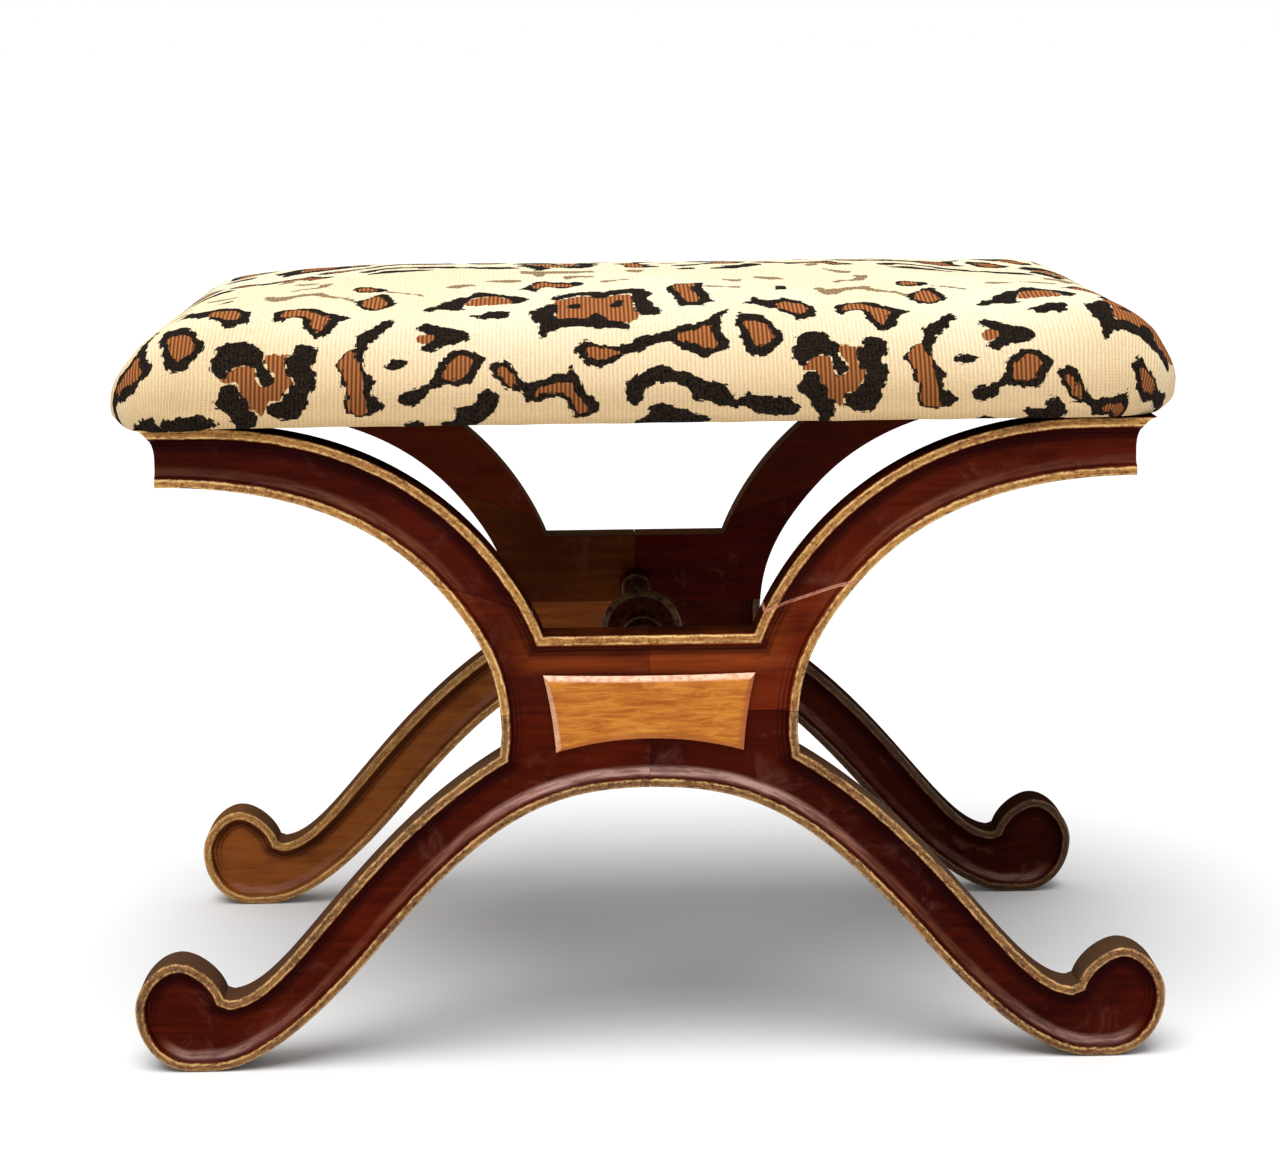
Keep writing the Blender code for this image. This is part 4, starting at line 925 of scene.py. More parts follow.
FIGURES = {
    "dark": """
        -161,-168 -157,-172 -158,-176 -163,-182 -164,-186 -168,-189 -169,-194 -173,-194 -174,-200 -176,-204
        -176,-210 -175,-215 -174,-219 -171,-221 -168,-224 -170,-228 -171,-234 -167,-236 -164,-239 -162,-241
        -164,-244 -166,-246 -172,-248 -182,-248 -186,-246 -187,-235 -186,-229 -189,-229 -190,-220 -192,-216
        -194,-214 -194,-211 -191,-209 -190,-206 -185,-201 -181,-199 -181,-187 -179,-186 -174,-181 -169,-177
        -166,-172; -163,-214 -161,-211 -156,-209 -152,-210 -146,-211 -149,-213 -154,-216 -158,-217 -161,-216
        -164,-215; -144,-178 -138,-174 -131,-178 -123,-181 -114,-184 -111,-188 -109,-190 -111,-193 -117,-197
        -127,-199 -134,-204 -138,-204 -142,-202 -140,-199 -137,-197 -134,-194 -133,-190 -137,-188 -139,-186
        -144,-182; -124,-206 -120,-203 -114,-202 -110,-203 -104,-206 -100,-209 -102,-213 -104,-217 -106,-221
        -107,-224 -110,-227 -117,-229 -125,-228 -130,-229 -132,-231 -135,-232 -136,-236 -139,-238 -144,-241
        -147,-242 -151,-241 -154,-238 -154,-235 -151,-233 -146,-231 -142,-230 -140,-228 -135,-227 -134,-224
        -131,-220 -132,-217 -130,-215 -130,-212 -126,-209 -125,-207; -103,-231 -99,-230 -96,-232 -92,-235
        -92,-242 -94,-246 -99,-249 -101,-253 -107,-258 -110,-262 -130,-262 -127,-254 -121,-252 -117,-248
        -122,-244 -117,-242 -112,-241 -106,-240 -105,-235 -103,-234; -152,-262 -150,-254 -142,-251 -138,-254
        -139,-262; -99,-216 -96,-213 -89,-211 -84,-214 -83,-217 -80,-220 -79,-223 -74,-227 -71,-227 -68,-225
        -63,-224 -57,-221 -50,-221 -48,-216 -46,-215 -45,-220 -42,-224 -40,-229 -38,-234 -34,-236 -30,-241
        -30,-247 -34,-249 -39,-251 -44,-252 -46,-251 -46,-246 -49,-245 -49,-241 -51,-239 -56,-237 -61,-237
        -65,-239 -75,-240 -76,-235 -79,-232 -87,-231 -90,-229 -91,-227 -95,-222 -96,-220; -46,-203 -43,-200
        -40,-197 -39,-194 -35,-196 -30,-199 -24,-200 -16,-200 -10,-198 -7,-196 -4,-192 1,-191 6,-191 10,-187
        15,-186 19,-184 22,-180 31,-179 36,-176 40,-173 42,-167 46,-162 51,-157 54,-149 55,-155 52,-162
        49,-166 48,-179 48,-189 51,-195 53,-199 52,-202 49,-206 44,-206 40,-208 37,-211 34,-210 31,-207
        26,-205 22,-204 19,-199 14,-197 9,-199 2,-201 -1,-204 -7,-207 -14,-208 -17,-210 -21,-214 -25,-216
        -30,-217 -35,-216 -39,-214 -39,-211 -42,-210 -42,-207 -45,-205; -15,-228 -10,-227 -9,-225 -4,-221
        1,-218 7,-217 11,-216 15,-217 17,-220 26,-221 29,-224 34,-226 42,-228 50,-230 52,-234 55,-239
        60,-237 63,-235 65,-237 69,-238 89,-238 91,-241 95,-245 97,-247 92,-251 81,-252 71,-251 67,-250
        64,-247 60,-245 50,-245 45,-244 39,-241 28,-240 27,-235 25,-232 21,-229 15,-228 5,-228 1,-231
        -1,-234 -2,-239 -7,-244 -12,-240 -12,-236 -14,-234 -12,-231; -8,-256 -4,-252 -1,-251 1,-246 3,-243
        4,-241 10,-241 13,-242 20,-245 25,-246 28,-249 35,-251 40,-253 36,-257 10,-262 -6,-262; 61,-160
        64,-164 71,-164 76,-167 77,-174 80,-177 81,-184 84,-187 87,-190 87,-195 84,-200 82,-203 80,-207
        75,-210 67,-210 65,-208 62,-206 61,-196 59,-194 60,-187 57,-182 58,-172 59,-166; -233,-152 -230,-148
        -226,-145 -220,-144 -217,-142 -211,-142 -207,-145 -203,-150 -199,-154 -194,-157 -189,-160 -186,-164
        -189,-167 -192,-169 -195,-176 -197,-184 -201,-187 -205,-190 -208,-189 -210,-186 -212,-182 -215,-175
        -216,-164 -216,-161 -222,-160 -226,-163 -227,-167 -232,-168 -233,-160; -185,-130 -182,-125 -177,-120
        -174,-114 -171,-111 -167,-110 -164,-113 -163,-120 -161,-125 -159,-132 -160,-140 -164,-143 -167,-147
        -172,-149 -179,-147 -181,-143 -184,-138; -142,-151 -137,-142 -131,-140 -130,-132 -123,-128 -121,-122
        -112,-119 -110,-112 -108,-108 -101,-108 -96,-112 -91,-115 -84,-118 -79,-121 -74,-125 -75,-132
        -80,-136 -85,-137 -86,-130 -91,-122 -97,-120 -104,-121 -110,-124 -111,-127 -112,-134 -116,-143
        -114,-148 -120,-152 -122,-150 -132,-149 -137,-153; -110,-161 -104,-160 -100,-154 -92,-153 -86,-154
        -85,-159 -87,-167 -90,-169 -96,-167 -101,-169 -106,-167 -106,-164 -112,-164; -80,-99 -76,-93 -74,-89
        -72,-83 -69,-77 -65,-75 -60,-79 -52,-80 -47,-82 -45,-79 -41,-79 -38,-85 -40,-90 -44,-93 -47,-97
        -54,-99 -60,-95 -65,-94 -66,-100 -69,-107 -71,-108 -74,-105 -76,-103 -81,-100; 15,-104 16,-99 19,-94
        21,-90 25,-87 34,-87 40,-86 41,-90 40,-95 40,-105 42,-114 44,-119 44,-130 46,-137 40,-140 39,-145
        34,-146 27,-145 22,-148 23,-143 21,-130 20,-122 18,-115 17,-109 16,-107; 64,-142 69,-136 70,-129
        72,-127 76,-133 81,-135 86,-134 90,-130 94,-133 101,-138 104,-144 106,-148 109,-149 109,-160
        109,-167 109,-172 105,-172 101,-175 96,-176 95,-171 92,-166 90,-162 87,-160 86,-155 85,-153 81,-154
        77,-150 72,-145 69,-143 65,-143; 86,-109 88,-102 89,-97 94,-98 95,-104 94,-110 90,-110; 166,-98
        167,-92 170,-89 176,-89 181,-93 186,-94 189,-99 185,-104 177,-105 170,-105""",
    "rust": """
        -185,-201 -181,-203 -181,-210 -178,-212 -177,-219 -176,-228 -175,-234 -174,-235 -173,-246 -180,-247
        -183,-246 -185,-240 -184,-234 -186,-228 -187,-224 -188,-219 -190,-215 -192,-214 -191,-210 -188,-206;
        -143,-190 -141,-188 -138,-187 -133,-188 -132,-191 -136,-195 -139,-197 -142,-196 -143,-193; -127,-221
        -126,-219 -125,-214 -121,-210 -116,-206 -112,-207 -110,-209 -107,-211 -109,-214 -111,-218 -112,-221
        -117,-224 -124,-225 -127,-223; -94,-217 -89,-216 -86,-218 -83,-221 -82,-225 -81,-229 -84,-229
        -87,-227 -89,-223 -92,-221; -69,-234 -67,-231 -61,-228 -55,-227 -47,-227 -45,-230 -44,-235 -40,-239
        -37,-242 -36,-246 -40,-248 -43,-248 -44,-244 -46,-241 -48,-237 -50,-235 -55,-234 -60,-233 -66,-235
        -69,-236; -37,-204 -36,-201 -32,-201 -27,-202 -22,-202 -17,-206 -21,-208 -25,-210 -30,-212 -35,-209
        -37,-207; 19,-194 19,-189 27,-188 34,-184 39,-180 42,-182 42,-189 43,-195 45,-199 44,-202 40,-203
        34,-202 31,-199 25,-197 20,-196; 64,-175 69,-176 74,-179 77,-182 79,-189 81,-194 80,-197 75,-200
        72,-202 68,-201 67,-196 65,-190 65,-184 62,-179; 120,-201 127,-202 134,-204 132,-210 133,-217
        137,-222 136,-227 132,-231 130,-236 124,-236 122,-241 121,-246 118,-245 116,-241 112,-240 112,-233
        108,-231 106,-221 98,-221 97,-217 101,-214 105,-210 111,-209 116,-211 116,-219 119,-225 125,-222
        126,-217 122,-212 120,-207; -229,-154 -226,-148 -220,-146 -214,-148 -210,-152 -205,-157 -200,-160
        -199,-167 -202,-174 -203,-179 -206,-184 -208,-180 -210,-174 -211,-165 -214,-158 -218,-158 -222,-159
        -228,-160; -180,-138 -180,-128 -175,-120 -172,-115 -169,-118 -167,-124 -165,-130 -164,-137 -167,-142
        -171,-146 -175,-143; -112,-126 -109,-123 -103,-120 -97,-119 -91,-121 -86,-128 -85,-136 -90,-138
        -98,-140 -106,-141 -113,-142 -116,-138 -112,-132; -57,-131 -52,-127 -40,-120 -33,-121 -24,-124
        -20,-119 -8,-116 -6,-130 -6,-150 -3,-158 -3,-167 -6,-172 -9,-178 -15,-176 -24,-173 -34,-170 -48,-171
        -57,-170 -57,-158 -55,-148 -58,-138; -72,-99 -72,-92 -70,-87 -67,-80 -64,-80 -60,-84 -54,-85 -47,-87
        -46,-92 -51,-95 -57,-94 -62,-92 -66,-93 -67,-98; 21,-98 22,-92 26,-89 34,-89 37,-93 32,-99 31,-105
        35,-114 36,-123 36,-134 34,-137 29,-137 26,-128 25,-118 22,-107; 85,-148 86,-142 91,-140 96,-142
        101,-145 104,-153 104,-160 101,-165 96,-164 92,-159 90,-155 86,-154; 169,-98 170,-93 174,-92 181,-95
        182,-100 176,-102 171,-101""",
    "dark_over": """
        94,-195 97,-192 100,-190 110,-189 114,-192 116,-196 118,-199 121,-201 120,-206 121,-211 123,-215
        126,-219 126,-222 122,-225 119,-226 117,-221 116,-216 115,-211 111,-210 105,-211 101,-213 100,-217
        96,-217 94,-214 91,-212 91,-206 91,-203 94,-202; 97,-222 100,-221 106,-221 107,-226 108,-230
        112,-232 112,-240 116,-241 117,-246 116,-252 114,-254 112,-262 107,-262 106,-252 102,-245 101,-241
        98,-237 95,-235 93,-231 96,-228 97,-225; 135,-196 140,-195 145,-196 151,-199 151,-204 150,-210
        147,-212 147,-216 150,-217 150,-221 151,-224 150,-228 147,-232 146,-235 146,-240 144,-242 142,-246
        140,-249 135,-250 130,-249 126,-246 122,-243 122,-240 123,-236 130,-236 131,-231 135,-230 135,-227
        137,-225 136,-221 133,-219 132,-212 131,-210 132,-205 136,-203 136,-199; -60,-130 -59,-123 -54,-117
        -50,-114 -42,-111 -37,-109 -30,-109 -24,-110 -20,-105 -11,-102 -4,-100 0,-101 1,-107 -2,-112 -6,-114
        -10,-116 -16,-117 -21,-120 -24,-125 -29,-127 -32,-125 -34,-120 -39,-119 -44,-120 -46,-124 -50,-125
        -52,-128 -55,-131; -4,-100 1,-101 2,-107 6,-112 6,-118 3,-123 3,-130 6,-138 6,-145 11,-152 11,-159
        8,-164 4,-165 -1,-164 -4,-160 -6,-154 -6,-143 -7,-130 -7,-115; -75,-154 -70,-152 -67,-148 -62,-140
        -58,-139 -54,-143 -54,-148 -56,-157 -57,-164 -56,-168 -54,-174 -57,-185 -61,-188 -63,-193 -67,-192
        -67,-176 -70,-174 -72,-167 -72,-163 -74,-158; -56,-170 -50,-169 -47,-168 -44,-167 -40,-169 -36,-167
        -34,-162 -30,-159 -27,-162 -24,-167 -24,-171 -22,-174 -15,-174 -10,-177 -9,-182 -10,-186 -16,-184
        -24,-182 -29,-183 -32,-182 -40,-181 -49,-181 -54,-183 -57,-186 -58,-175; -49,-145 -48,-142 -45,-140
        -42,-139 -40,-143 -40,-148 -45,-149 -48,-148; -22,-143 -20,-140 -19,-133 -16,-129 -13,-130 -13,-143
        -15,-147 -19,-148 -22,-145""",
    "faint": """
        -129,-93 -127,-88 -120,-85 -115,-84 -109,-85 -109,-89 -116,-91 -121,-96 -126,-95; -106,-75 -96,-70
        -91,-69 -79,-70 -79,-78 -90,-80 -97,-78; -28,-79 -25,-75 -17,-73 -10,-69 -4,-68 -4,-70 -12,-73
        -19,-78 -25,-82; -82,-31 -60,-33 -32,-31 -29,-38 -45,-44 -62,-45 -66,-58 -70,-58 -72,-46 -80,-45;
        -53,-57 -42,-55 -30,-57 -30,-62 -42,-62 -48,-69 -52,-66; -9,-27 3,-28 3,-40 -3,-42 -9,-36; 75,-64
        84,-69 93,-71 95,-80 86,-80 76,-73; 53,-75 67,-76 67,-84 60,-84; 124,-35 131,-44 142,-52 140,-60
        132,-57 127,-48; 118,-4 124,-6 122,-20 115,-22 113,-16; 40,-92 46,-95 54,-97 66,-99 65,-103 54,-100
        45,-99 40,-97; 112,-109 115,-104 117,-105 120,-110 130,-109 135,-105 145,-103 149,-105 152,-112
        160,-117 165,-118 169,-124 176,-129 175,-135 171,-133 165,-125 160,-120 155,-120 150,-117 146,-114
        140,-111 134,-114 129,-118 126,-123 121,-126 117,-123 115,-118 114,-112; 189,-102 197,-105 204,-108
        212,-113 213,-117 204,-112 196,-108 188,-105; 142,-68 151,-68 151,-75 149,-82 146,-87 142,-88
        132,-88 130,-92 127,-92 126,-89 127,-87 132,-84 140,-83 142,-79 143,-74"""}


def depth_inside(points, corners):
    """How far each point lies inside a polygon, and less than nought outside: the distance to the nearest
    side, with the sign from how often a line to the right crosses the sides."""
    start, end = corners, np.roll(corners, -1, axis=0)
    side = end - start
    offset = points[:, None] - start
    share = np.clip((offset * side).sum(-1) / (side ** 2).sum(-1), 0, 1)
    distance = np.hypot(*np.moveaxis(offset - side * share[..., None], -1, 0)).min(1)
    x, z = points[:, :1], points[:, 1:]
    spans = (start[:, 1] > z) != (end[:, 1] > z)
    rise = np.where(side[:, 1] == 0, 1, side[:, 1])
    crossing = start[:, 0] + (z - start[:, 1]) * side[:, 0] / rise > x
    inside = (spans & crossing).sum(1) % 2 == 1
    return np.where(inside, distance, -distance)


def shape_corners(text):
    """The corners of each shape in a text, where a semicolon parts the shapes."""
    return [np.array([[float(v) for v in pair.split(",")] for pair in shape.split()])
            for shape in text.split(";")]


def figure_depth(places, shapes):
    """The greatest depth inside any copy of the shapes, for places on the cloth laid flat, in mm."""
    depth = np.full(len(places), -NEAR)
    for corners in shape_corners(shapes):
        for row in range(3):
            for column in range(-3, 4):
                copy = corners + (REPEAT * (column + row / 2), RISE * row)
                low, high = copy.min(0) - NEAR, copy.max(0) + NEAR
                near = np.flatnonzero(((places > low) & (places < high)).all(1))
                if len(near):
                    depth[near] = np.maximum(depth[near], depth_inside(places[near], copy))
    return depth


def share_of(value, whole):
    """The value as a share of the whole, kept from nought to one."""
    return np.clip(value / whole, 0, 1)


def ease(value, low, high):
    """A smooth step from nought at low to one at high: three squares of the share less two cubes."""
    share = share_of(value - low, high - low)
    return share * share * (3 - 2 * share)


def drifted(places):
    """Where on the straight cloth each place takes its figure: the cloth was pulled down and inwards over
    both ends of the seat, more on the right, by smooth steps of the place along the bench."""
    u, v = places.T
    right, left = ease(u, 185, 325), ease(-u, 200, 320)
    front = -np.tanh(v / 60)
    return np.stack([u + 5 * right + 10 * left, v + front * (20 * right + 9 * left)], -1)


def seat_section():
    """Inset, height and run from the crown at even steps up the seat's section, smoothed."""
    section = np.array(SEAT_SECTION) * MM
    fine = smoothed(resampled(section, np.linspace(0, run_along(section)[-1], 500)), 70)
    at = np.linspace(0, run_along(fine)[-1], SEAT_RINGS + 1)
    return (*resampled(fine, at).T, at[-1] - at)


def round_corner(length, out, radius, share, extra):
    """Along and out of a place on one side of a rounded rectangle, as far as the middles of its corners: a
    straight run, then an arc. The share, from -1 to 1, goes by length. On the cloth laid flat the arc has
    the extra length added to its radius."""
    straight = length - radius
    run = np.abs(share) * (straight + radius * math.pi / 4)
    past = np.maximum(run - straight, 0)
    turn = np.where(radius > 0, past / np.where(radius > 0, radius, 1), 0)
    wide = radius + extra
    place_along = np.minimum(run, straight) + wide * np.sin(turn)
    return np.sign(share) * place_along, out - radius + wide * np.cos(turn)


def seat_grid():
    """The seat's skin on a grid of cells. Each square ring of the grid is a rounded rectangle, set in and
    up by the section, so the rings close on a ridge with no pole. Gives the points, the same places on the
    cloth laid flat, where each ring goes out by what its run from the crown is longer than its way in, and
    the number of each point's ring."""
    inset, height, run = seat_section()
    across, deep = 2 * SEAT_RINGS + RIDGE_CELLS, 2 * SEAT_RINGS
    i, j = np.meshgrid(np.arange(across + 1), np.arange(deep + 1), indexing="ij")
    from_end, from_face = np.minimum(i, across - i), np.minimum(j, deep - j)
    ring = np.minimum(from_end, from_face)
    on_face = from_face <= from_end
    d, extra = inset[ring], np.maximum(run - (SEAT_HALF_DEPTH - inset), 0)[ring]
    length = np.where(on_face, SEAT_HALF_WIDTH, SEAT_HALF_DEPTH) - d
    out = np.where(on_face, SEAT_HALF_DEPTH, SEAT_HALF_WIDTH) - d
    radius = SEAT_CORNER_RADIUS * (SEAT_HALF_DEPTH - d) / SEAT_HALF_DEPTH
    share = np.where(on_face, (i - across / 2) / np.maximum(across / 2 - ring, 1),
                     (j - deep / 2) / np.maximum(deep / 2 - ring, 1))
    results = []
    for added in (np.zeros_like(extra), extra):
        place_along, place_out = round_corner(length, out, radius, share, added)
        x = np.where(on_face, place_along, place_out * np.sign(i - across / 2))
        y = np.where(on_face, place_out * np.sign(j - deep / 2), place_along)
        results.append((x, y))
    (x, y), (u, v) = results
    return np.stack([x, y, height[ring]], -1), np.stack([u, v], -1), ring


def read_vectors(items, field):
    """One vector of each of a mesh's items, as rows."""
    values = np.empty(len(items) * 3)
    items.foreach_get(field, values)
    return values.reshape(-1, 3)


def swollen(points, faces, held):
    """The skin after a short cloth simulation: it is blown up from a slightly smaller shape, with its lower
    edge held, and no point moves more than the cap."""
    flat_points = points.reshape(-1, 3)
    middle = flat_points[held].mean(0)
    rim = grid_rim(*points.shape[:2])
    fan = np.column_stack([np.roll(rim, -1), rim, np.full(len(rim), len(flat_points))])
    mesh = new_mesh("blown", np.vstack([flat_points, middle]), [*faces, *fan])
    body = shown("blown", turn_faces_out(mesh))
    body.vertex_groups.new(name="held").add([*map(int, held), len(flat_points)], 1.0, "REPLACE")
    cloth = body.modifiers.new("cloth", "CLOTH")
    for name, value in SEAT_CLOTH.items():
        setattr(cloth.settings, name, value)
    cloth.settings.effector_weights.gravity = 0
    cloth.collision_settings.use_collision = False
    for number in range(1, SWELL_FRAMES + 1):
        bpy.context.scene.frame_set(number)
    shift = read_vectors(evaluated(body).vertices, "co")[:-1] - flat_points
    bpy.context.scene.frame_set(1)
    far = np.linalg.norm(shift, axis=1)
    cap = MOST_SWELL * np.tanh(far / MOST_SWELL) / np.maximum(far, TINY)
    return (flat_points + shift * cap[:, None]).reshape(points.shape)


def fitted(points, pattern):
    """Points stretched along each axis from the middle of the base, so they reach as far as the pattern."""
    base = np.array([0, 0, SEAT_BASE])
    reach = np.abs(pattern - base).max((0, 1)) / np.abs(points - base).max((0, 1))
    return base + (points - base) * reach


def add_seat(material):
    """The cover: a skin that is blown up, shaped by use, made finer, hemmed and printed."""
    points, flat, ring = seat_grid()
    faces = grid_quads(*ring.shape, False)
    middle = np.array([0, 0, SEAT_BASE])
    away = (points - middle) / np.linalg.norm(points - middle, axis=-1, keepdims=True)
    smaller = points - away * share_of(points[..., 2:] - SEAT_BASE, 30 * MM) * START_DRAW
    points = fitted(swollen(smaller, faces, np.flatnonzero(ring.ravel() <= 1)), points)
    mesh = turn_faces_out(new_mesh("skin", shaped_by_use(points), faces))
    laid = np.zeros((ring.size, 3), np.float32)
    laid[:, :2] = flat.reshape(-1, 2)
    mesh.attributes.new("laid_flat", "FLOAT_VECTOR", "POINT").data.foreach_set("vector", laid.ravel())
    body = shown("skin", mesh)
    smooth = body.modifiers.new("smooth", "SUBSURF")
    smooth.levels = smooth.render_levels = 1
    smooth.boundary_smooth = "PRESERVE_CORNERS"
    fine = turned_under(evaluated(body))
    places = drifted(read_vectors(fine.attributes["laid_flat"].data, "vector")[:, :2] / MM)
    for name, shapes in FIGURES.items():
        layer = fine.attributes.new("print_" + name, "FLOAT", "POINT")
        layer.data.foreach_set("value", figure_depth(places, shapes).astype(np.float32))
    fine.name = "cloth_seat"
    seat = new_piece("cloth_seat", fine, material, ("seat_cover", "seat_pad"), crisp=False)


def shaped_by_use(points):
    """Small unevenness of the upholstery: a full corner at the front left, whose cloth hangs a little lower
    than the rest, ends that are fuller above and bellied below, and a slow wave along the front's lower
    edge. Each is a bell or a share of the place, in mm, times a share of the height."""
    x, y, z = np.moveaxis(points / MM, -1, 0)
    low = ease(LOWER_FACE_TOP - z, 0, LOWER_FACE_HEIGHT)
    corner_x, corner_y = (x - FULL_CORNER[0]) / 40, (y - FULL_CORNER[1]) / 44
    corner = np.exp(-corner_x ** 2 - corner_y ** 2) * low
    full = ease(np.abs(x), 205, 305) * share_of(z - 436, 26) * np.where(x > 0, RIGHT_FULL, LEFT_FULL)
    wave = (0.5 * np.sin(x / 11.0) + 0.4 * np.sin(x / 5.3 + 1.0)) * low * share_of(-y - 150, 40)
    belly = np.exp(-((z - BELLY_HEIGHT) / 13) ** 2) * share_of(z - 421, 8) * share_of(np.abs(x) - 280, 45)
    move = [-3.6 * corner + (0.45 * full + 4.0 * belly) * np.sign(x), -1.2 * corner - 0.35 * wave,
            -2.8 * corner + 0.3 * wave + full]
    return points + np.stack(move, -1) * MM


def turned_under(mesh):
    """Carry the open lower edge in under the board as the cloth's hem, and close it with a flat face."""
    bm = bmesh.new()
    bm.from_mesh(mesh)
    layer = bm.verts.layers.float_vector["laid_flat"]
    boundary = [edge for edge in bm.edges if edge.is_boundary]
    half = Vector((SEAT_HALF_WIDTH, SEAT_HALF_DEPTH))
    step = HEM_TURN / HEM_RINGS
    for number in range(HEM_RINGS):
        made = bmesh.ops.extrude_edge_only(bm, edges=boundary)["geom"]
        boundary = [item for item in made if isinstance(item, bmesh.types.BMEdge)]
        for vert in (item for item in made if isinstance(item, bmesh.types.BMVert)):
            vert.co.x *= 1 - step / half.x
            vert.co.y *= 1 - step / half.y
            vert.co.z += (SEAT_BASE - vert.co.z) * min(1, 0.5 + number * 0.5)
            vert[layer] = Vector(vert[layer]) * (1 + step / LAID_REACH)
    bmesh.ops.contextual_create(bm, geom=boundary)
    bmesh.ops.recalc_face_normals(bm, faces=bm.faces)
    bm.to_mesh(mesh)
    bm.free()
    return mesh


def cloth_finish():
    """Ribbed woven cloth in cream, with the figure woven in: rust on dark shapes and dark ones over it. Each
    rib and each pair of picks takes or leaves a little of a shape's edge, and the ribs stand up as fine
    cords. Low on the sides and at the ends the cloth is painted darker as shade."""
    m = Finish("ribbed_cloth", Specular_IOR_Level=0.08, Roughness=0.94)
    laid = m.split(m.node("ShaderNodeAttribute", attribute_name="laid_flat").outputs["Vector"])
    u, v = m.times(laid[0], TO_MM), m.times(laid[1], TO_MM)
    rib, pick = m.maths("DIVIDE", u, RIB_PITCH), m.maths("DIVIDE", v, PICK_PITCH)
    chance = m.node("ShaderNodeTexWhiteNoise", noise_dimensions="2D")
    pair_of_picks = m.maths("DIVIDE", v, 2 * PICK_PITCH)
    m.put(chance.inputs["Vector"], m.join(m.maths("FLOOR", rib), m.maths("FLOOR", pair_of_picks)))
    jitter = m.times(m.less(chance.outputs["Value"], 0.5), 2.0)

    def shape(name):
        depth = m.node("ShaderNodeAttribute", attribute_name="print_" + name).outputs["Fac"]
        return m.step(m.plus(depth, jitter), -0.35, 0.35)

    stripe, weave = m.wave(rib, 0.5), m.wave(pick, 0.18)
    slub = m.noise(m.place(), 700, 2)
    dash = m.noise(m.join(m.times(u, 0.9), m.times(v, 0.14)), 1.0, 3, 0.7)
    # Painted shade: low on the sides and at the ends the cream and the rust darken, and the cream's rib
    # stripes grow stronger
    low = m.most(m.step(m.maths("ABSOLUTE", v), 150, 268), m.step(m.maths("ABSOLUTE", u), 290, 390))
    cream = m.mix(m.step(m.noise(m.place(), 6, 2), 0.35, 0.65), srgb(254, 246, 216), srgb(250, 238, 200))
    cream = m.mix(m.step(dash, 0.5, 0.72, 0.0, 0.45), cream, srgb(214, 178, 122))
    cream = m.mix(m.times(stripe, m.maths("MULTIPLY_ADD", low, 0.5, 0.16)), cream, srgb(190, 146, 92))
    cream = m.mix(m.times(low, 0.8), cream, srgb(208, 170, 118))
    rust = m.mix(stripe, srgb(194, 124, 70), srgb(108, 52, 22))
    rust = m.mix(m.times(low, 0.75), rust, m.mix(stripe, srgb(138, 82, 40), srgb(72, 35, 15)))
    dark = m.mix(stripe, srgb(20, 14, 12), srgb(6, 4, 4))
    olive = m.mix(stripe, srgb(118, 90, 58), srgb(150, 120, 80))
    colour = m.mix(m.times(shape("faint"), 0.9), cream, olive)
    for name, thread in (("dark", dark), ("rust", rust), ("dark_over", dark)):
        colour = m.mix(shape(name), colour, thread)
    colour = m.mix(m.step(slub, 0.35, 0.7, 0.0, 0.12), colour, srgb(120, 96, 70))
    return m.finish(Base_Color=colour, Normal=m.bump(m.plus(stripe, weave, m.times(slub, 0.5)), 0.0006, 0.7))


# The bench

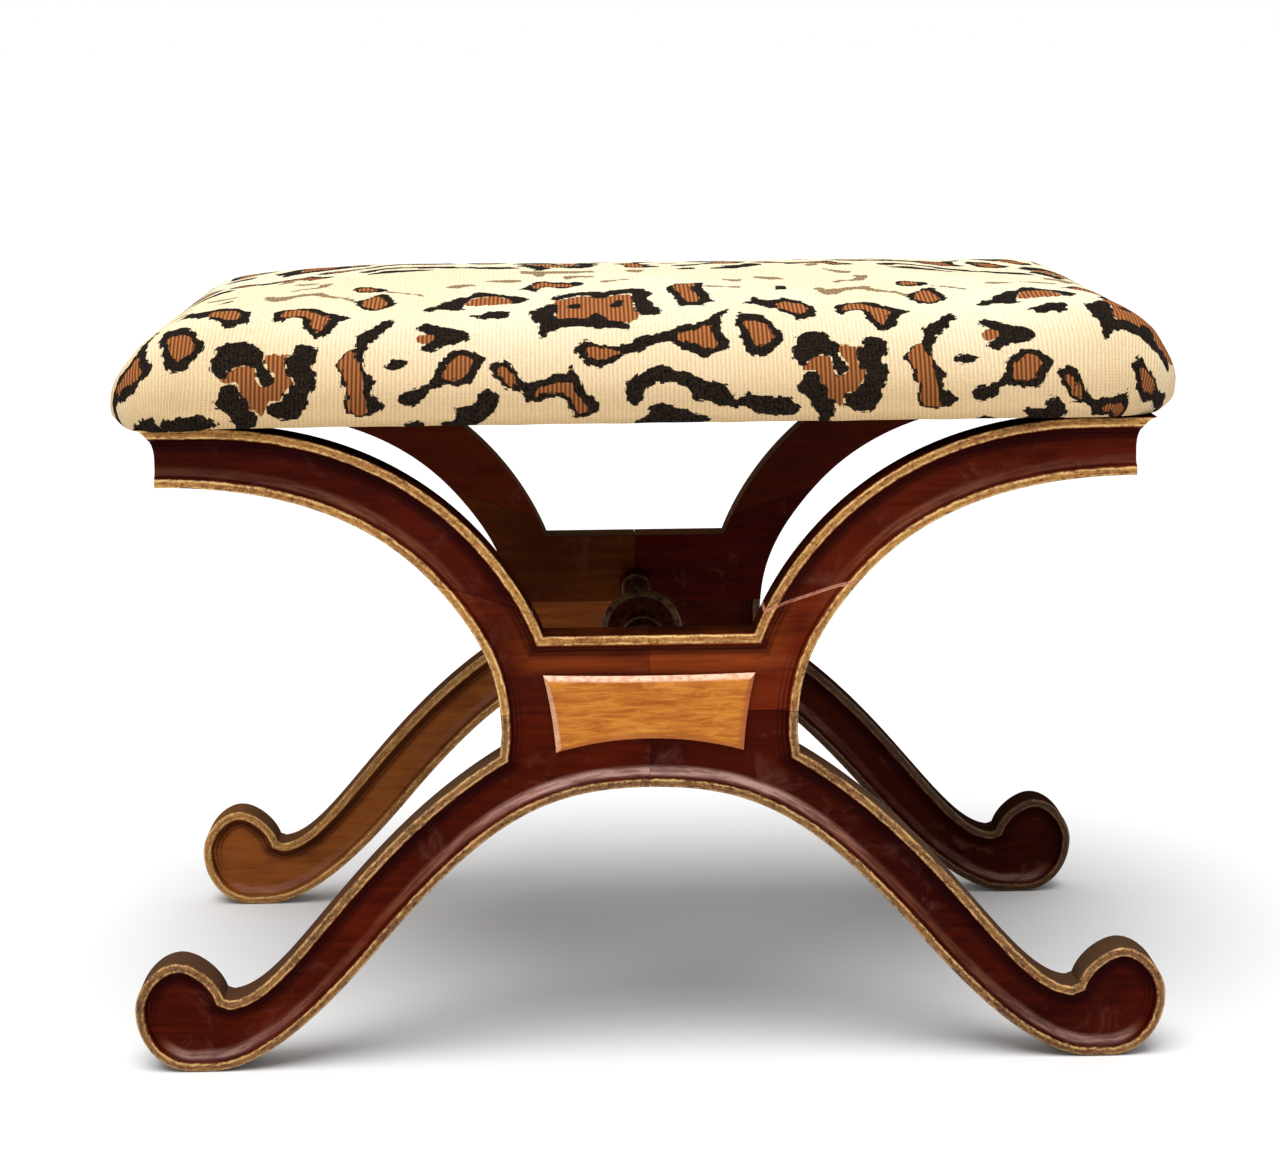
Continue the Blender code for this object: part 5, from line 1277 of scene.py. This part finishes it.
def frame_woods():
    """Each quarter's own shade of polish and gilding, by part, side and frame."""
    # Black, the side colour of the front arms and hubs, is painted shade on their walls under the seat
    black, olive = srgb(16, 6, 4), srgb(84, 64, 46)
    # The third colour of each gilding is the paler gold of the painted highlight on either rim of the bead
    gold = (srgb(184, 132, 66), srgb(134, 84, 42), srgb(228, 192, 126), black)
    deep_gold = (srgb(142, 98, 54), srgb(90, 56, 32), srgb(206, 166, 104), olive)
    dull_gold = (srgb(144, 102, 46), srgb(96, 62, 28), srgb(182, 138, 74), olive)
    bright_gold = (srgb(186, 132, 72), srgb(128, 84, 42), srgb(222, 180, 112), olive)
    lost_gold = (srgb(78, 48, 24), srgb(46, 22, 12), srgb(118, 86, 50), srgb(40, 24, 16))
    quarters = (("arm", "left", "front", (52, 10, 4), (74, 19, 8), gold),
                ("arm", "right", "front", (56, 12, 4), (84, 24, 8), gold),
                ("hub", "left", "front", (64, 16, 6), (90, 30, 11), gold),
                ("hub", "right", "front", (74, 20, 7), (108, 37, 12), gold),
                ("leg", "left", "front", (58, 11, 3), (82, 22, 6), deep_gold),
                ("leg", "right", "front", (43, 5, 2), (66, 15, 5), deep_gold),
                ("arm", "left", "back", (74, 21, 5), (94, 31, 8), dull_gold),
                ("arm", "right", "back", (62, 15, 5), (80, 23, 6), dull_gold),
                ("hub", "left", "back", (70, 26, 6), (94, 46, 10), dull_gold),
                ("hub", "right", "back", (44, 5, 3), (74, 11, 6), dull_gold),
                ("leg", "left", "back", (114, 58, 22), (146, 82, 36), bright_gold),
                ("leg", "right", "back", (42, 7, 3), (60, 16, 5), lost_gold))
    turns = {"leg": 48, "hub": 0, "arm": -50}
    shines = {"leg": (0.95, 0.5), "hub": (0.6, 0.6), "arm": (0.62, 0.15)}
    run = np.array(SCARF_FOOT) - np.array(SCARF_TOP)
    across, up = -run[1] / np.hypot(*run), run[0] / np.hypot(*run)
    scarf = (across, up, across * SCARF_TOP[0] + up * SCARF_TOP[1])
    woods = {}
    for number, (part, side, place, dark, light, gilding) in enumerate(quarters):
        turn = turns[part] * (1 if side == "right" else -1)
        crack = scarf if side == "right" and place == "front" and part != "leg" else None
        shift = (number * 0.37, 0.2 * number, 0.11 * number)
        # The back frame takes less of the painted highlight in the hollow; the highlight is warmer on the
        # arms
        shine = [value * (0.6 if place == "back" else 1.0) for value in shines[part]]
        hollow_highlight = srgb(166, 108, 80) if part == "arm" else srgb(190, 146, 134)
        woods[part, side, place] = polished_frame(
            f"polish_{place}_{part}_{side}", turn, (srgb(*dark), srgb(*light), *gilding), shift, shine,
            hollow_highlight, crack)
    return woods


def steel_finish():
    """Scratched steel."""
    m = Finish("steel", Metallic=1.0)
    scratched = m.noise(m.place(), 900, 3)
    return m.finish(Base_Color=m.mix(scratched, srgb(150, 148, 144), srgb(192, 190, 184)),
                    Roughness=m.step(scratched, 0.3, 0.7, 0.28, 0.45))


def cambric_finish():
    """Thin black cloth with uneven threads."""
    m = Finish("black_cambric", Specular_IOR_Level=0.1)
    threads = m.noise(m.place(), 1400, 1)
    return m.finish(Base_Color=m.mix(threads, srgb(16, 16, 18), srgb(44, 43, 46)),
                    Roughness=m.step(threads, 0.3, 0.7, 0.85, 0.95), Normal=m.bump(threads, 0.0002, 0.6))


def finish_hidden_nodes(cambric, steel):
    """Every solid that stays in the scene as it is takes a finish of its own."""
    finishes = {
        "corner_block": plain_wood("beech", srgb(176, 132, 88), srgb(212, 172, 124), 0.55, (14, 1, 14), 0.3),
        "dowel": plain_wood("dowel_beech", srgb(186, 146, 100), srgb(220, 184, 138), 0.55, specular=0.3),
        "seat_board": plain_wood("plywood", srgb(168, 128, 84), srgb(206, 168, 118), 0.6, (1, 14, 14), 0.3),
        "screw": steel, "dust_cover": cambric}
    for name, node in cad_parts.items():
        for word, material in finishes.items():
            if word in name:
                node.data.materials.clear()
                node.data.materials.append(material)


bpy.context.scene.view_settings.view_transform = "Standard"
add_camera()
add_world()
add_floor()
add_sun("key", (-0.12, -0.36, 1.0), 2.9, 48)
add_frames(frame_woods())
add_stretcher(turned_finish())
add_tablets(gilt_panel())
add_side_rails(plain_wood("end_rail", srgb(66, 16, 6), srgb(96, 30, 12), 0.26, (14, 1, 14)))
add_seat(cloth_finish())
lining_cloth, wire = cambric_finish(), steel_finish()
add_lining(lining_cloth, wire)
finish_hidden_nodes(lining_cloth, wire)
